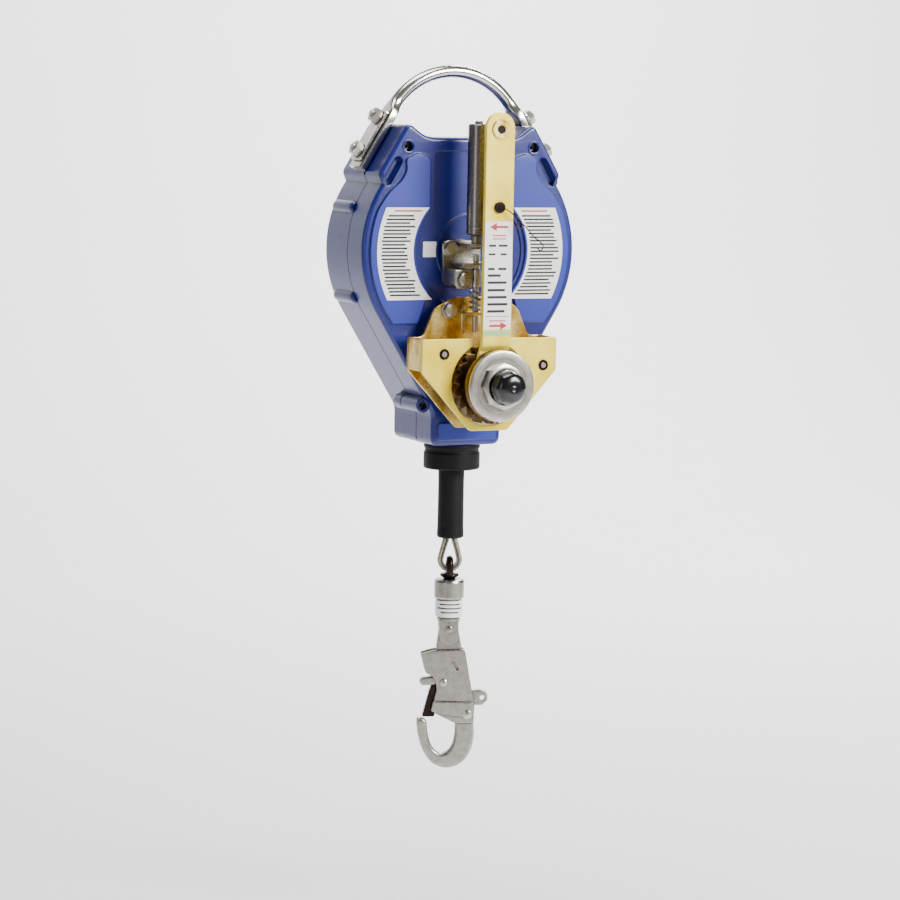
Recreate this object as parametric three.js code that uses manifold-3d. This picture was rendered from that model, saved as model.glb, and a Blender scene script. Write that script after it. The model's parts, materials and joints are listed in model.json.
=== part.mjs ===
// Self retracting lifeline with a retrieval hand crank. Millimetres, +Z up, the crank side faces -Y.
// The origin is the inner top of the anchor handle, where the anchor connector bears.
// All sizes below are measured from the drum axis, which runs along Y through (0, 0).
import * as THREE from 'three';
import * as BufferGeometryUtils from 'three/addons/utils/BufferGeometryUtils.js';
import Module from 'manifold-3d';

const wasm = await Module();
wasm.setup();

// ---- driving dimensions ----
const GAP = 0.3;
const SEAM = 0.7;
const ROUND = 20;
const FINE = 32;
const TILT = THREE.MathUtils.degToRad(31.5);

const CASE = {
  radius: 119, front: -45, rear: 47.5, wall: 5, plateau: 2.5, parting: -8,
  topHeight: 109, topHalf: 50, shoulder: 127.4, shoulderLow: 6, earTip: 70,
  blockHalf: 39, blockBottom: -197.6, edge: 4,
};
const EAR_SCREWS = [[-70.5, 104.3], [70.5, 104.3]];
const LUG_SCREWS = [[-49.5, -155], [49.5, -155]];
const SCREW = { earHole: 5, lugHole: 4.4, lug: 7.8, depth: 12, lugRear: 12 };
// Bolt bosses down the side walls of the rear shell: [angle in degrees, distance from the drum axis].
const BOSSES = [[21, 117], [-24, 117], [159, 117], [204, 117]];
const BOSS_RADIUS = 7;

const HANDLE = { bar: 13, arcRadius: 80, arcHeight: 100, legThick: 9, legWide: 26, legLow: 14, legTop: 80 };
const ANCHOR_HEIGHT = HANDLE.arcHeight + HANDLE.arcRadius - HANDLE.bar / 2;
const BOLT_PLACES = [30, 69];
const STRAP = { thick: 3, wide: 22, low: 20, top: 79 };
const BOLT = { acrossFlats: 13, head: 7, shank: 4 };

const ROPE = { thick: 4.8, y: -12.5 };
const DRUM = { core: 50, flange: 92, gear: 98, teeth: 24, front: -30.5, rear: 5.5, cheek: 5.5, bore: 12.3 };
const SHAFT = { radius: 12, front: -39.6, rear: 42.8 };
const BEARING = { outer: 18, wide: 7 };
const SPRING_CASE = { radius: 84, front: 8, rear: 34, wall: 3 };
const POWER_SPRING = { inner: 14, outer: 78, turns: 4, band: 1.6, wide: 18 };
const BRAKE_RING = { inner: 62, outer: 74, front: -38, rear: -32, teeth: 18, tooth: 3 };
const SPEED_PAWL = { pivot: 46, reach: 24, thick: 4.5, front: -37 };
const WINDING = { inner: 50.3, outer: 82 };

const NOZZLE = { radius: 29, top: -197.9, bottom: -224, bore: 5 };
const BUSH = { outer: 8, bore: 3.2, top: -150, bottom: -197 };
const SLEEVE = { radius: 13.5, top: -224.3, bottom: -296, bore: 9.3, neck: 3.2 };
const EYE = { z: -319.5, rope: 10.4, liner: 6.6, wide: 6.4 };
const HOOK_TURN = THREE.MathUtils.degToRad(-22);
const BAIL = { bar: 9, inner: 4.6, outer: 11, top: -318, bottom: -333.4, neck: 6 };
const SWIVEL = { top: -339, waist: -360, bottom: -379, radius: 15.5, stem: 12 };
const CLEVIS = { half: 10, low: -398, gap: 6.3, thick: 3 };
const HOOK = { thick: 12, cover: 17, slot: 9.4 };
const GATE = { x: -4.5, z: -447, thick: 8.6 };
const LEVER = { x: 20.5, z: -480, thick: 8.6 };

const WINCH = {
  x: 0, z: -130, plateFront: -94.2, plateThick: 4, rearFront: -62, rearThick: 4,
  half: 75, top: -84.5, shoulder: -117.5, bottom: -177, bottomHalf: 21, cutout: 42.5,
};
const RATCHET = { radius: 40.5, root: 35, teeth: 18, front: -97, rear: -84 };
const ARM = { half: 15.7, front: -107.7, thick: 5, top: 124, bend: -90, step: 5, foot: 24 };
const ARM_HOLE = { top: 123, lock: 46.3 };
const DISC = { radius: 35.7, front: -122.7, rear: -118 };
const KNOB = { radius: 18, front: -148, rear: -129.5 };
const NUT = { flats: 23.5, collar: 21, pocket: 18.4, front: -129.2, pocketRear: -124.3 };
const CRANK_SHAFT = { radius: 9, bore: 4.4, front: -122.3, rear: -42.5 };
const PINION = { radius: 29, root: 25, teeth: 12, front: -40, rear: -32 };
const PAWL_PINS = [
  { name: 'left', x: -51, z: -99.6, tip: [-30.5, -102.3] },
  { name: 'right', x: 60.2, z: -112.5, tip: [40, -120] },
];

const GRIP = { radius: 10.5, x: -8, y: -75, bottom: 18, top: 127.7, neck: 5.5, neckLow: 3.6, cap: 4 };
const BRACKET = { back: -49.2, thick: 4, left: -34, right: 8, top: 11, low: -31, shelf: 3, reach: 9 };
const SHELVES = [{ low: 6, left: -19 }, { low: -13, left: -27 }];
const CLIP_BOLT = [-27, 3];
const PLUNGER = {
  radius: 6, rod: 3, collarTop: -16.5, collarLow: -34, rodTop: -1.5, rodLow: -80, seat: -59.3,
};

// ---- materials ----
function paint(colour, roughness, metalness) {
  return new THREE.MeshStandardMaterial({ color: colour, roughness, metalness });
}
const ENAMEL = paint(0x2a3f9d, 0.3, 0.0);
const STAINLESS = paint(0xc9c5be, 0.25, 1.0);
const ZINC = paint(0xb9b4ad, 0.4, 1.0);
const YELLOW_ZINC = paint(0xe6cf78, 0.35, 1.0);
const BRONZE = paint(0x8d6534, 0.4, 1.0);
const DARK_STEEL = paint(0x57514f, 0.35, 1.0);
const RUBBER = paint(0x1c1a1a, 0.7, 0.0);
const BLACK_PLASTIC = paint(0x15151c, 0.35, 0.0);
const WHITE_PLASTIC = paint(0xe4e2dc, 0.5, 0.0);
const SPRING_STEEL = paint(0x6a6a6e, 0.3, 1.0);
const CAST_ALLOY = paint(0x9a9a98, 0.5, 1.0);
const WIRE = paint(0x8f8d88, 0.4, 1.0);

// ---- shape helpers ----
function solid(geometry) {
  const bare = geometry.index ? geometry.toNonIndexed() : geometry.clone();
  bare.deleteAttribute('normal');
  bare.deleteAttribute('uv');
  const merged = BufferGeometryUtils.mergeVertices(bare, 1e-4);
  const vertProperties = Float32Array.from(merged.attributes.position.array);
  const triVerts = Uint32Array.from(merged.index.array);
  return new wasm.Manifold(new wasm.Mesh({ numProp: 3, vertProperties, triVerts }));
}

function shell(manifold) {
  const mesh = manifold.getMesh();
  const geometry = new THREE.BufferGeometry();
  geometry.setAttribute('position', new THREE.BufferAttribute(Float32Array.from(mesh.vertProperties), 3));
  geometry.setIndex(Array.from(mesh.triVerts));
  const faceted = geometry.toNonIndexed();
  faceted.computeVertexNormals();
  return faceted;
}

function join(first, ...others) {
  return shell(others.reduce((body, other) => body.add(solid(other)), solid(first)));
}

function cut(first, ...others) {
  return shell(others.reduce((body, other) => body.subtract(solid(other)), solid(first)));
}

// A box from its two opposite corners.
function box(low, high) {
  const size = high.map((value, i) => value - low[i]);
  const geometry = new THREE.BoxGeometry(...size);
  return geometry.translate(...low.map((value, i) => value + size[i] / 2));
}

// A rod along Y between two places, round or with flats.
function rodY(radius, front, rear, sides = ROUND, x = 0, z = 0) {
  const geometry = new THREE.CylinderGeometry(radius, radius, rear - front, sides);
  return geometry.translate(x, (front + rear) / 2, z);
}

// A rod along Z between two heights.
function rodZ(radius, low, high, sides = ROUND, x = 0, y = 0) {
  const geometry = new THREE.CylinderGeometry(radius, radius, high - low, sides);
  return geometry.rotateX(Math.PI / 2).translate(x, y, (low + high) / 2);
}

// A closed profile of [radius, along] points turned about the Y axis.
function turnY(profile, sides = ROUND) {
  const points = [...profile, profile[0]].map(([radius, along]) => new THREE.Vector2(radius, along));
  return new THREE.LatheGeometry(points, sides);
}

// The same about the Z axis.
function turnZ(profile, sides = ROUND) {
  return turnY(profile, sides).rotateX(Math.PI / 2);
}

function ringY(inner, outer, front, rear, sides = ROUND) {
  return turnY([[inner, front], [outer, front], [outer, rear], [inner, rear]], sides);
}

function ringZ(inner, outer, low, high, sides = ROUND) {
  return turnZ([[inner, low], [outer, low], [outer, high], [inner, high]], sides);
}

// A flat outline in X and Z, thickened along Y from front to rear, with optional rounded edges.
function plateXZ(shape, front, rear, edge = 0, curveSegments = 12) {
  const depth = rear - front - 2 * edge;
  const settings = { depth, curveSegments, bevelEnabled: edge > 0 };
  Object.assign(settings, { bevelThickness: edge, bevelSize: edge, bevelOffset: -edge, bevelSegments: 1 });
  const geometry = new THREE.ExtrudeGeometry(shape, settings);
  return geometry.rotateX(Math.PI / 2).translate(0, rear - edge, 0);
}

function polygon(points) {
  return new THREE.Shape(points.map(([x, z]) => new THREE.Vector2(x, z)));
}

// A bar with two half round ends, in X and Z.
function slotShape(x0, z0, x1, z1, radius) {
  const angle = Math.atan2(z1 - z0, x1 - x0);
  const shape = new THREE.Shape();
  shape.absarc(x1, z1, radius, angle - Math.PI / 2, angle + Math.PI / 2, false);
  shape.absarc(x0, z0, radius, angle + Math.PI / 2, angle + Math.PI * 1.5, false);
  shape.closePath();
  return shape;
}

// Teeth round a wheel: each rises steeply and falls away, or is even when lean is 0.
function toothedShape(root, tip, teeth, lean = 0) {
  const points = [];
  for (let i = 0; i < teeth; i += 1) {
    const start = (i / teeth) * Math.PI * 2;
    const pitch = (Math.PI * 2) / teeth;
    const leaning = [[0, root], [lean, tip], [lean + 0.18, tip]];
    const even = [[0, root], [0.2, tip], [0.5, tip], [0.7, root]];
    const steps = lean ? leaning : even;
    for (const [part, radius] of steps) {
      const angle = start + part * pitch;
      points.push([radius * Math.cos(angle), radius * Math.sin(angle)]);
    }
  }
  return polygon(points);
}

// A round wire carried along a path.
function wireAlong(path, radius, steps, sides = 8) {
  const section = new THREE.Shape();
  section.absarc(0, 0, radius, 0, Math.PI * 2, false);
  const settings = { steps, extrudePath: path, bevelEnabled: false, curveSegments: sides / 2 };
  return new THREE.ExtrudeGeometry(section, settings);
}

function place(group, name, geometry, material, position = [0, 0, 0], rotation = [0, 0, 0]) {
  const mesh = new THREE.Mesh(geometry, material.clone());
  mesh.name = name;
  mesh.position.set(...position);
  mesh.rotation.set(...rotation);
  group.add(mesh);
  return mesh;
}

// A point on the slanted shoulder line of one side: out is its distance from the drum axis.
function onShoulder(side, out, along) {
  const x = out * Math.cos(TILT) - along * Math.sin(TILT);
  const z = out * Math.sin(TILT) + along * Math.cos(TILT);
  return [side * x, z];
}

// ---- housing ----
// Round body, slanted handle shoulders with ears above, tangent sides running down to the rope block.
function caseOutline() {
  const c = CASE;
  const shape = new THREE.Shape();
  const blockTop = -(c.radius - c.blockHalf * Math.cos(TILT)) / Math.sin(TILT);
  const ledge = TILT + Math.asin(c.shoulderLow / c.radius);
  const corner = 5;
  shape.moveTo(-c.blockHalf + corner, c.blockBottom);
  shape.lineTo(c.blockHalf - corner, c.blockBottom);
  shape.lineTo(c.blockHalf, c.blockBottom + corner);
  shape.lineTo(c.blockHalf, blockTop);
  shape.absarc(0, 0, c.radius, -TILT, ledge, false);
  shape.lineTo(...onShoulder(1, c.shoulder, c.shoulderLow + 6));
  shape.lineTo(...onShoulder(1, c.shoulder, c.earTip - 3));
  shape.lineTo(...onShoulder(1, c.shoulder - 3, c.earTip));
  shape.lineTo(c.topHalf, c.topHeight);
  shape.lineTo(-c.topHalf, c.topHeight);
  shape.lineTo(...onShoulder(-1, c.shoulder - 3, c.earTip));
  shape.lineTo(...onShoulder(-1, c.shoulder, c.earTip - 3));
  shape.lineTo(...onShoulder(-1, c.shoulder, c.shoulderLow + 6));
  shape.absarc(0, 0, c.radius, Math.PI - ledge, Math.PI + TILT, false);
  shape.lineTo(-c.blockHalf, blockTop);
  shape.lineTo(-c.blockHalf, c.blockBottom + corner);
  shape.closePath();
  return shape;
}

function cavityOutline() {
  const radius = CASE.radius - CASE.wall;
  const half = 22;
  const low = -(radius - half * Math.cos(TILT)) / Math.sin(TILT);
  const high = Math.asin((CASE.topHeight - CASE.wall) / radius);
  const shape = new THREE.Shape();
  shape.moveTo(-half, low);
  shape.lineTo(half, low);
  shape.absarc(0, 0, radius, -TILT, high, false);
  shape.absarc(0, 0, radius, Math.PI - high, Math.PI + TILT, false);
  shape.closePath();
  return shape;
}

// One raised label panel of the front face, bounded by the case edge and by the round centre recess.
function panelOutline() {
  const outer = CASE.radius - 12;
  const inner = 60;
  const shape = new THREE.Shape();
  shape.moveTo(57, -74);
  shape.lineTo(83, -74);
  shape.absarc(0, 0, outer, -0.68, 0.53, false);
  shape.lineTo(72, 82);
  shape.lineTo(74, 106);
  shape.lineTo(54, 98);
  shape.lineTo(43, 93);
  shape.lineTo(43, Math.sqrt(inner ** 2 - 43 ** 2));
  shape.absarc(0, 0, inner, Math.acos(43 / inner), -0.72, true);
  shape.closePath();
  return shape;
}

function frontShell() {
  const c = CASE;
  const stretch = 20;
  const body = solid(plateXZ(caseOutline(), c.front, c.parting - SEAM + stretch, c.edge, 7));
  const keep = box([-200, -100, -300], [200, c.parting - SEAM, 200]);
  let made = body.intersect(solid(keep));
  made = made.subtract(solid(plateXZ(cavityOutline(), c.front + c.wall, 10, 0, 7)));
  const panel = plateXZ(panelOutline(), c.front - c.plateau, c.front + 2, 0, 5);
  made = made.add(solid(panel));
  made = made.add(solid(shell(solid(panel).mirror([1, 0, 0]))));
  made = made.add(solid(ringY(34.5, 37.5, c.front - 1.2, c.front + 1)));
  made = made.add(solid(ringY(BEARING.outer + GAP, 24, c.front + 3, SHAFT.front + 7.4)));
  for (const side of [-1, 1]) {
    const pocket = slotShape(side * 92, 70, side * 80, 92, 6);
    made = made.subtract(solid(plateXZ(pocket, c.front - 5, c.front + 8, 0, 6)));
  }
  for (const spot of LUG_SCREWS) {
    made = made.add(solid(rodY(SCREW.lug, c.front, c.parting - SEAM, ROUND, ...spot)));
    made = made.subtract(solid(rodY(SCREW.lugHole, c.front - 1, c.front + SCREW.depth, 12, ...spot)));
  }
  for (const spot of EAR_SCREWS) {
    made = made.subtract(solid(rodY(SCREW.earHole, c.front - 1, c.front + SCREW.depth, 12, ...spot)));
  }
  const channel = box([-40, c.front - 2, 58], [40, c.front + 2, 104]);
  made = made.subtract(solid(channel));
  const shaftHole = rodY(CRANK_SHAFT.radius + 2 * GAP, c.front - 5, c.front + 8, 24, WINCH.x, WINCH.z);
  made = made.subtract(solid(shaftHole));
  made = made.subtract(solid(rodZ(BUSH.outer + GAP, -230, -150, 24, 0, ROPE.y)));
  return shell(made);
}

function rearShell() {
  const c = CASE;
  const stretch = 20;
  let made = solid(plateXZ(caseOutline(), c.parting + SEAM - stretch, c.rear, c.edge, 7));
  for (const [angle, radius] of BOSSES) {
    const turn = THREE.MathUtils.degToRad(angle);
    const spot = [radius * Math.cos(turn), radius * Math.sin(turn)];
    made = made.add(solid(rodY(BOSS_RADIUS, c.parting + SEAM, c.rear - 3, 14, ...spot)));
  }
  for (const spot of LUG_SCREWS) {
    made = made.add(solid(rodY(SCREW.lug, c.parting + SEAM, SCREW.lugRear, ROUND, ...spot)));
  }
  made = made.intersect(solid(box([-200, c.parting + SEAM, -300], [200, 100, 200])));
  made = made.subtract(solid(plateXZ(cavityOutline(), -20, c.rear - c.wall + 1, 0, 7)));
  made = made.add(solid(ringY(BEARING.outer + GAP, 24, SHAFT.rear - 7.4, c.rear - 2)));
  made = made.subtract(solid(rodZ(BUSH.outer + GAP, -230, -150, 24, 0, ROPE.y)));
  return shell(made);
}

function shellGasket() {
  const outer = solid(plateXZ(caseOutline(), CASE.parting - 0.4, CASE.parting + 0.4, 0, 7));
  const inner = plateXZ(cavityOutline(), CASE.parting - 2, CASE.parting + 2, 0, 7);
  const exit = rodZ(BUSH.outer + GAP, -230, -150, 24, 0, ROPE.y);
  return shell(outer.subtract(solid(inner)).subtract(solid(exit)));
}

// ---- anchor handle ----
// A round bar arch whose ends are forged into flat legs lying on the shoulders.
function anchorHandle() {
  const out = HANDLE.arcHeight * Math.sin(TILT) + HANDLE.arcRadius;
  const steps = 18;
  const points = [];
  const span = Math.PI / 2 - TILT;
  for (let i = 0; i <= steps; i += 1) {
    const angle = span - (2 * span * i) / steps;
    const across = -HANDLE.arcRadius * Math.sin(angle);
    const up = HANDLE.arcHeight + HANDLE.arcRadius * Math.cos(angle);
    points.push(new THREE.Vector3(across, 0, up));
  }
  const curve = new THREE.CatmullRomCurve3(points);
  let made = solid(wireAlong(curve, HANDLE.bar / 2, 18, 10));
  for (const side of [-1, 1]) {
    const low = HANDLE.legLow;
    const top = HANDLE.legTop + 12;
    const inner = out - HANDLE.legThick / 2;
    const outer = out + HANDLE.legThick / 2;
    const corners = [[inner, low], [outer, low], [outer, top], [inner, top]];
    const outline = corners.map(([far, along]) => onShoulder(side, far, along));
    if (side < 0) outline.reverse();
    const half = HANDLE.legWide / 2;
    const slab = solid(plateXZ(polygon(outline), -half, half));
    made = made.add(slab);
    for (const along of BOLT_PLACES) {
      made = made.subtract(solid(boltHole(side, along)));
    }
  }
  return shell(made);
}

// A hole for a handle bolt, square to the shoulder.
function boltHole(side, along) {
  const rod = new THREE.CylinderGeometry(BOLT.shank + GAP, BOLT.shank + GAP, 30, 16);
  const [x, z] = onShoulder(side, CASE.shoulder + 6, along);
  return rod.rotateZ(side * Math.PI / 2).rotateY(-side * TILT).translate(x, 0, z);
}

function strapPlate() {
  const length = STRAP.top - STRAP.low;
  const middle = (STRAP.top + STRAP.low) / 2;
  const blank = new THREE.BoxGeometry(STRAP.wide, STRAP.thick, length);
  const holes = BOLT_PLACES.map((along) => rodY(BOLT.shank + GAP, -10, 10, 16, 0, along - middle));
  return cut(blank, ...holes);
}

function handleBolt() {
  const washer = rodY(8, 0, 1.6, 24);
  const head = rodY(BOLT.acrossFlats / Math.sqrt(3), -BOLT.head, 0.2, 6);
  const shank = rodY(BOLT.shank, 1, STRAP.thick + HANDLE.legThick, 16);
  return join(washer, head, shank);
}

// ---- drum and what turns or brakes it ----
function drum() {
  const d = DRUM;
  const profile = [
    [d.bore, d.front], [22, d.front], [22, -20], [d.core - 6, -20], [d.core - 6, d.front],
    [d.flange, d.front],
    [d.flange, d.front + d.cheek], [d.core, d.front + d.cheek], [d.core, d.rear - d.cheek + 0.5],
    [d.flange, d.rear - d.cheek + 0.5], [d.flange, d.rear], [d.core - 6, d.rear], [d.core - 6, -8],
    [22, -8],
    [22, d.rear], [d.bore, d.rear],
  ];
  const rim = plateXZ(toothedShape(d.flange + 1, d.gear, d.teeth), d.front, d.front + 4, 0, 4);
  const bore = rodY(d.flange - 4, d.front - 1, d.front + 6, FINE);
  return shell(solid(turnY(profile, FINE)).add(solid(rim).subtract(solid(bore))));
}

function powerSpring() {
  const s = POWER_SPRING;
  const steps = 48;
  const outline = (offset) => {
    const points = [];
    for (let i = 0; i <= steps; i += 1) {
      const angle = (i / steps) * s.turns * Math.PI * 2;
      const radius = s.inner + ((s.outer - s.inner) * i) / steps + offset;
      points.push([radius * Math.cos(angle), radius * Math.sin(angle)]);
    }
    return points;
  };
  const middle = (SPRING_CASE.front + SPRING_CASE.rear) / 2;
  const ribbon = polygon([...outline(s.band), ...outline(0).reverse()]);
  return plateXZ(ribbon, middle - s.wide / 2, middle + s.wide / 2);
}

function springCase() {
  const s = SPRING_CASE;
  const profile = [
    [SHAFT.radius + 2, s.rear - s.wall], [s.radius - s.wall, s.rear - s.wall], [s.radius - s.wall, s.front],
    [s.radius, s.front], [s.radius, s.rear], [SHAFT.radius + 2, s.rear],
  ];
  return turnY(profile, 32);
}

function brakeRing() {
  const b = BRAKE_RING;
  const ring = rodY(b.outer, b.front, b.rear, 32);
  const teeth = toothedShape(b.inner - b.tooth, b.inner, b.teeth, 0.5);
  return cut(ring, plateXZ(teeth, b.front - 1, b.rear + 1));
}

// A pivoted dog with a balancing tail: its nose swings out to catch the brake ring.
function speedPawl() {
  const reach = SPEED_PAWL.reach;
  const outline = polygon([[-14, -5], [6, -6], [reach, 4], [reach - 2, 9], [4, 6], [-14, 5]]);
  const body = plateXZ(outline, 0, SPEED_PAWL.thick);
  return join(body, rodY(2.5, -1, SPEED_PAWL.thick + 1.2, 12));
}

// ---- lifeline ----
function lifelinePath() {
  const points = [];
  const add = (x, z) => points.push(new THREE.Vector3(x, 0, z));
  const side = 2.7;
  for (const z of [-90, -120, -150, -180, -210, -236]) add(0, z);
  add(-0.6, -246);
  add(-side, -258);
  add(-side, -272);
  add(-side - 0.2, -288);
  add(-6.6, -303);
  const turns = 10;
  for (let i = 0; i <= turns; i += 1) {
    const angle = Math.PI * (0.92 + (1.16 * i) / turns);
    add(EYE.rope * Math.cos(angle), EYE.z + EYE.rope * Math.sin(angle));
  }
  add(6.6, -303);
  add(side + 0.2, -288);
  add(side, -272);
  add(side, -262);
  return new THREE.CatmullRomCurve3(points, false, 'centripetal');
}

function ferrule() {
  const outer = slotShape(-2.7, 0, 2.7, 0, 5.6);
  const inner = slotShape(-2.7, 0, 2.7, 0, ROPE.thick / 2 + GAP);
  outer.holes.push(new THREE.Path(inner.getPoints(8)));
  const geometry = new THREE.ExtrudeGeometry(outer, { depth: 20, bevelEnabled: false, curveSegments: 8 });
  return geometry.translate(0, 0, -283);
}

function sleeve() {
  const s = SLEEVE;
  return turnZ([
    [s.neck, s.top], [s.radius - 0.8, s.top], [s.radius, s.top - 3], [s.radius, s.bottom + 1],
    [s.radius - 1, s.bottom], [s.bore, s.bottom], [s.bore, s.top - 16], [s.neck, s.top - 12],
  ].reverse());
}

// A folded steel groove that keeps the rope eye open, drawn as a teardrop ring.
function thimble() {
  const ring = (radius, tip) => {
    const shape = new THREE.Shape();
    shape.absarc(0, EYE.z, radius, Math.PI * 0.9, Math.PI * 2.1, false);
    shape.lineTo(0, tip);
    shape.closePath();
    return shape;
  };
  const outer = ring(EYE.rope - ROPE.thick / 2 - 2 * GAP, EYE.z + 16);
  outer.holes.push(new THREE.Path(ring(EYE.liner, EYE.z + 13).getPoints(16)));
  return plateXZ(outer, -EYE.wide / 2, EYE.wide / 2, 0, 20);
}

// ---- swivel and snap hook ----
function swivelBail() {
  const b = BAIL;
  const shape = new THREE.Shape();
  shape.absarc(0, b.top - b.outer + 3, b.outer, 0, Math.PI, false);
  shape.lineTo(-b.outer + 2, b.bottom - 3);
  shape.lineTo(b.outer - 2, b.bottom - 3);
  shape.closePath();
  const hole = new THREE.Path();
  hole.moveTo(-b.inner, b.bottom);
  hole.lineTo(b.inner, b.bottom);
  hole.lineTo(b.inner, -324.2);
  hole.lineTo(-b.inner, -324.2);
  hole.closePath();
  shape.holes.push(hole);
  const ring = plateXZ(shape, -b.bar / 2, b.bar / 2, 1.2, 12).rotateZ(Math.PI / 2);
  const crown = box([-20, -20, -318], [20, 20, -300]);
  const neck = rodZ(b.neck, -354, b.bottom - 1, 24);
  const button = rodZ(9, -355, -351, 24);
  return shell(solid(ring).subtract(solid(crown)).add(solid(neck)).add(solid(button)));
}

function swivelBody() {
  const s = SWIVEL;
  return turnZ([
    [BAIL.neck + GAP, s.top], [s.radius - 2, s.top], [s.radius, s.top - 2.5], [s.radius, s.waist + 0.5],
    [s.stem, s.waist + 0.5], [s.stem, s.bottom], [0.0, s.bottom], [0.0, -357], [9.5, -357], [9.5, -350.5],
    [BAIL.neck + GAP, -350.5],
  ].reverse());
}

function clevis() {
  const c = CLEVIS;
  const cheek = new THREE.Shape();
  cheek.absarc(0, c.low, c.half, Math.PI, Math.PI * 2, false);
  cheek.lineTo(c.half, SWIVEL.bottom - 2);
  cheek.lineTo(-c.half, SWIVEL.bottom - 2);
  cheek.closePath();
  const front = plateXZ(cheek, -c.gap - c.thick, -c.gap);
  const rear = plateXZ(cheek, c.gap, c.gap + c.thick);
  const base = rodZ(SWIVEL.stem, SWIVEL.bottom - 4.3, SWIVEL.bottom - GAP, 24);
  const pin = rodY(2.3, -c.gap - c.thick - 1.5, c.gap + c.thick + 1.5, 12, 0, c.low + 7);
  return join(base, front, rear, pin);
}

function rivet(half, radius) {
  const head = radius * 1.7;
  return turnY([
    [0, -half], [head * 0.6, -half + 0.2], [head, -half + 1.4], [head, -half + 2], [radius, -half + 2],
    [radius, half - 2], [head, half - 2], [head, half - 1.4], [head * 0.6, half - 0.2], [0, half],
  ], 12);
}

// The forged hook: a bowl with its nose on the left, and a shank rising to the clevis.
function bowlOutline() {
  const shape = new THREE.Shape();
  shape.moveTo(-31.5, -484);
  shape.bezierCurveTo(-31.5, -505, -24, -537, 0, -537.5);
  shape.bezierCurveTo(20, -537.5, 28.5, -518, 28.5, -500);
  shape.lineTo(27.5, -486);
  shape.lineTo(25.5, -455);
  shape.lineTo(12.5, -392);
  shape.absarc(0, -394.2, 10.4, 0, Math.PI, false);
  shape.lineTo(-14, -410);
  shape.lineTo(-10, -474);
  shape.lineTo(-6, -486);
  shape.lineTo(8.5, -488);
  shape.bezierCurveTo(8.5, -504, 7, -520, -5, -522.5);
  shape.bezierCurveTo(-16, -520, -19, -508, -20.5, -490);
  shape.lineTo(-25, -484.5);
  shape.closePath();
  return shape;
}

function coverOutline() {
  return polygon([
    [-15.5, -413], [-28.5, -417], [-23.5, -437], [-15, -441], [-11, -452], [-17, -476], [-9, -481.5],
    [22, -488], [27.5, -486], [28, -470], [24, -450], [17, -412],
  ].reverse());
}

function hookBody() {
  const bowl = solid(plateXZ(bowlOutline(), -HOOK.thick / 2, HOOK.thick / 2, 2, 10));
  const cover = solid(plateXZ(coverOutline(), -HOOK.cover / 2, HOOK.cover / 2, 1));
  const half = HOOK.slot / 2;
  const gateRoom = polygon([
    [-40, -440], [5, -438], [14, -452], [8, -478], [4, -492], [-16, -505], [-40, -484],
  ]);
  const leverRoom = polygon([[50, -440], [11, -447], [10, -490], [50, -490]]);
  const nose = box([-60, -20, -520], [-15, 20, -484.6]);
  const cutters = solid(plateXZ(gateRoom, -half, half)).subtract(solid(nose));
  return shell(bowl.add(cover).subtract(cutters)
    .subtract(solid(plateXZ(leverRoom, -half, half)))
    .subtract(solid(rodY(2.6, -20, 20, 16, GATE.x, GATE.z)))
    .subtract(solid(rodY(2.6, -20, 20, 16, LEVER.x, LEVER.z)))
    .subtract(solid(rodY(2.6, -20, 20, 16, 0, CLEVIS.low + 7))));
}

// The gate bar closes the bowl from inside its nose, with a thumb tab above.
function hookGate() {
  const half = GATE.thick / 2;
  const bar = polygon([
    [-3, -442], [-22, -441.5], [-29, -446], [-19, -450.5], [-13.5, -456], [-21.5, -483.6],
    [-12.5, -483.6], [-5, -456], [3, -447]].reverse());
  const body = plateXZ(bar, -half, half, 1).translate(-GATE.x, 0, -GATE.z);
  return cut(body, rodY(2.6, -20, 20, 16));
}

function lockLever() {
  const half = LEVER.thick / 2;
  const shape = polygon([
    [14.5, -476], [20, -486], [26, -484], [27, -471], [36, -471.5], [42, -466], [41, -458],
    [34, -455], [24, -456], [17, -460]]);
  const body = plateXZ(shape, -half, half, 1).translate(-LEVER.x, 0, -LEVER.z);
  return cut(body, rodY(2.6, -20, 20, 16), rodY(2.6, -20, 20, 16, 36.2 - LEVER.x, -463.5 - LEVER.z));
}

// ---- winch ----
function winchFrontPlate() {
  const w = WINCH;
  const sheet = polygon([
    [w.half, w.top], [-w.half, w.top], [-w.half, w.shoulder], [-w.bottomHalf, w.bottom],
    [w.bottomHalf, w.bottom], [w.half, w.shoulder],
  ]);
  const front = w.plateFront;
  const rear = front + w.plateThick;
  let made = solid(plateXZ(sheet, front, rear));
  made = made.subtract(solid(rodY(w.cutout, front - 5, rear + 5, FINE, w.x, w.z)));
  made = made.subtract(solid(box([-19, front - 5, w.z], [22, rear + 5, w.top + 5])));
  for (const pin of PAWL_PINS) {
    made = made.subtract(solid(rodY(5.3, front - 5, rear + 5, 20, pin.x, pin.z)));
  }
  return shell(made);
}

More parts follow.
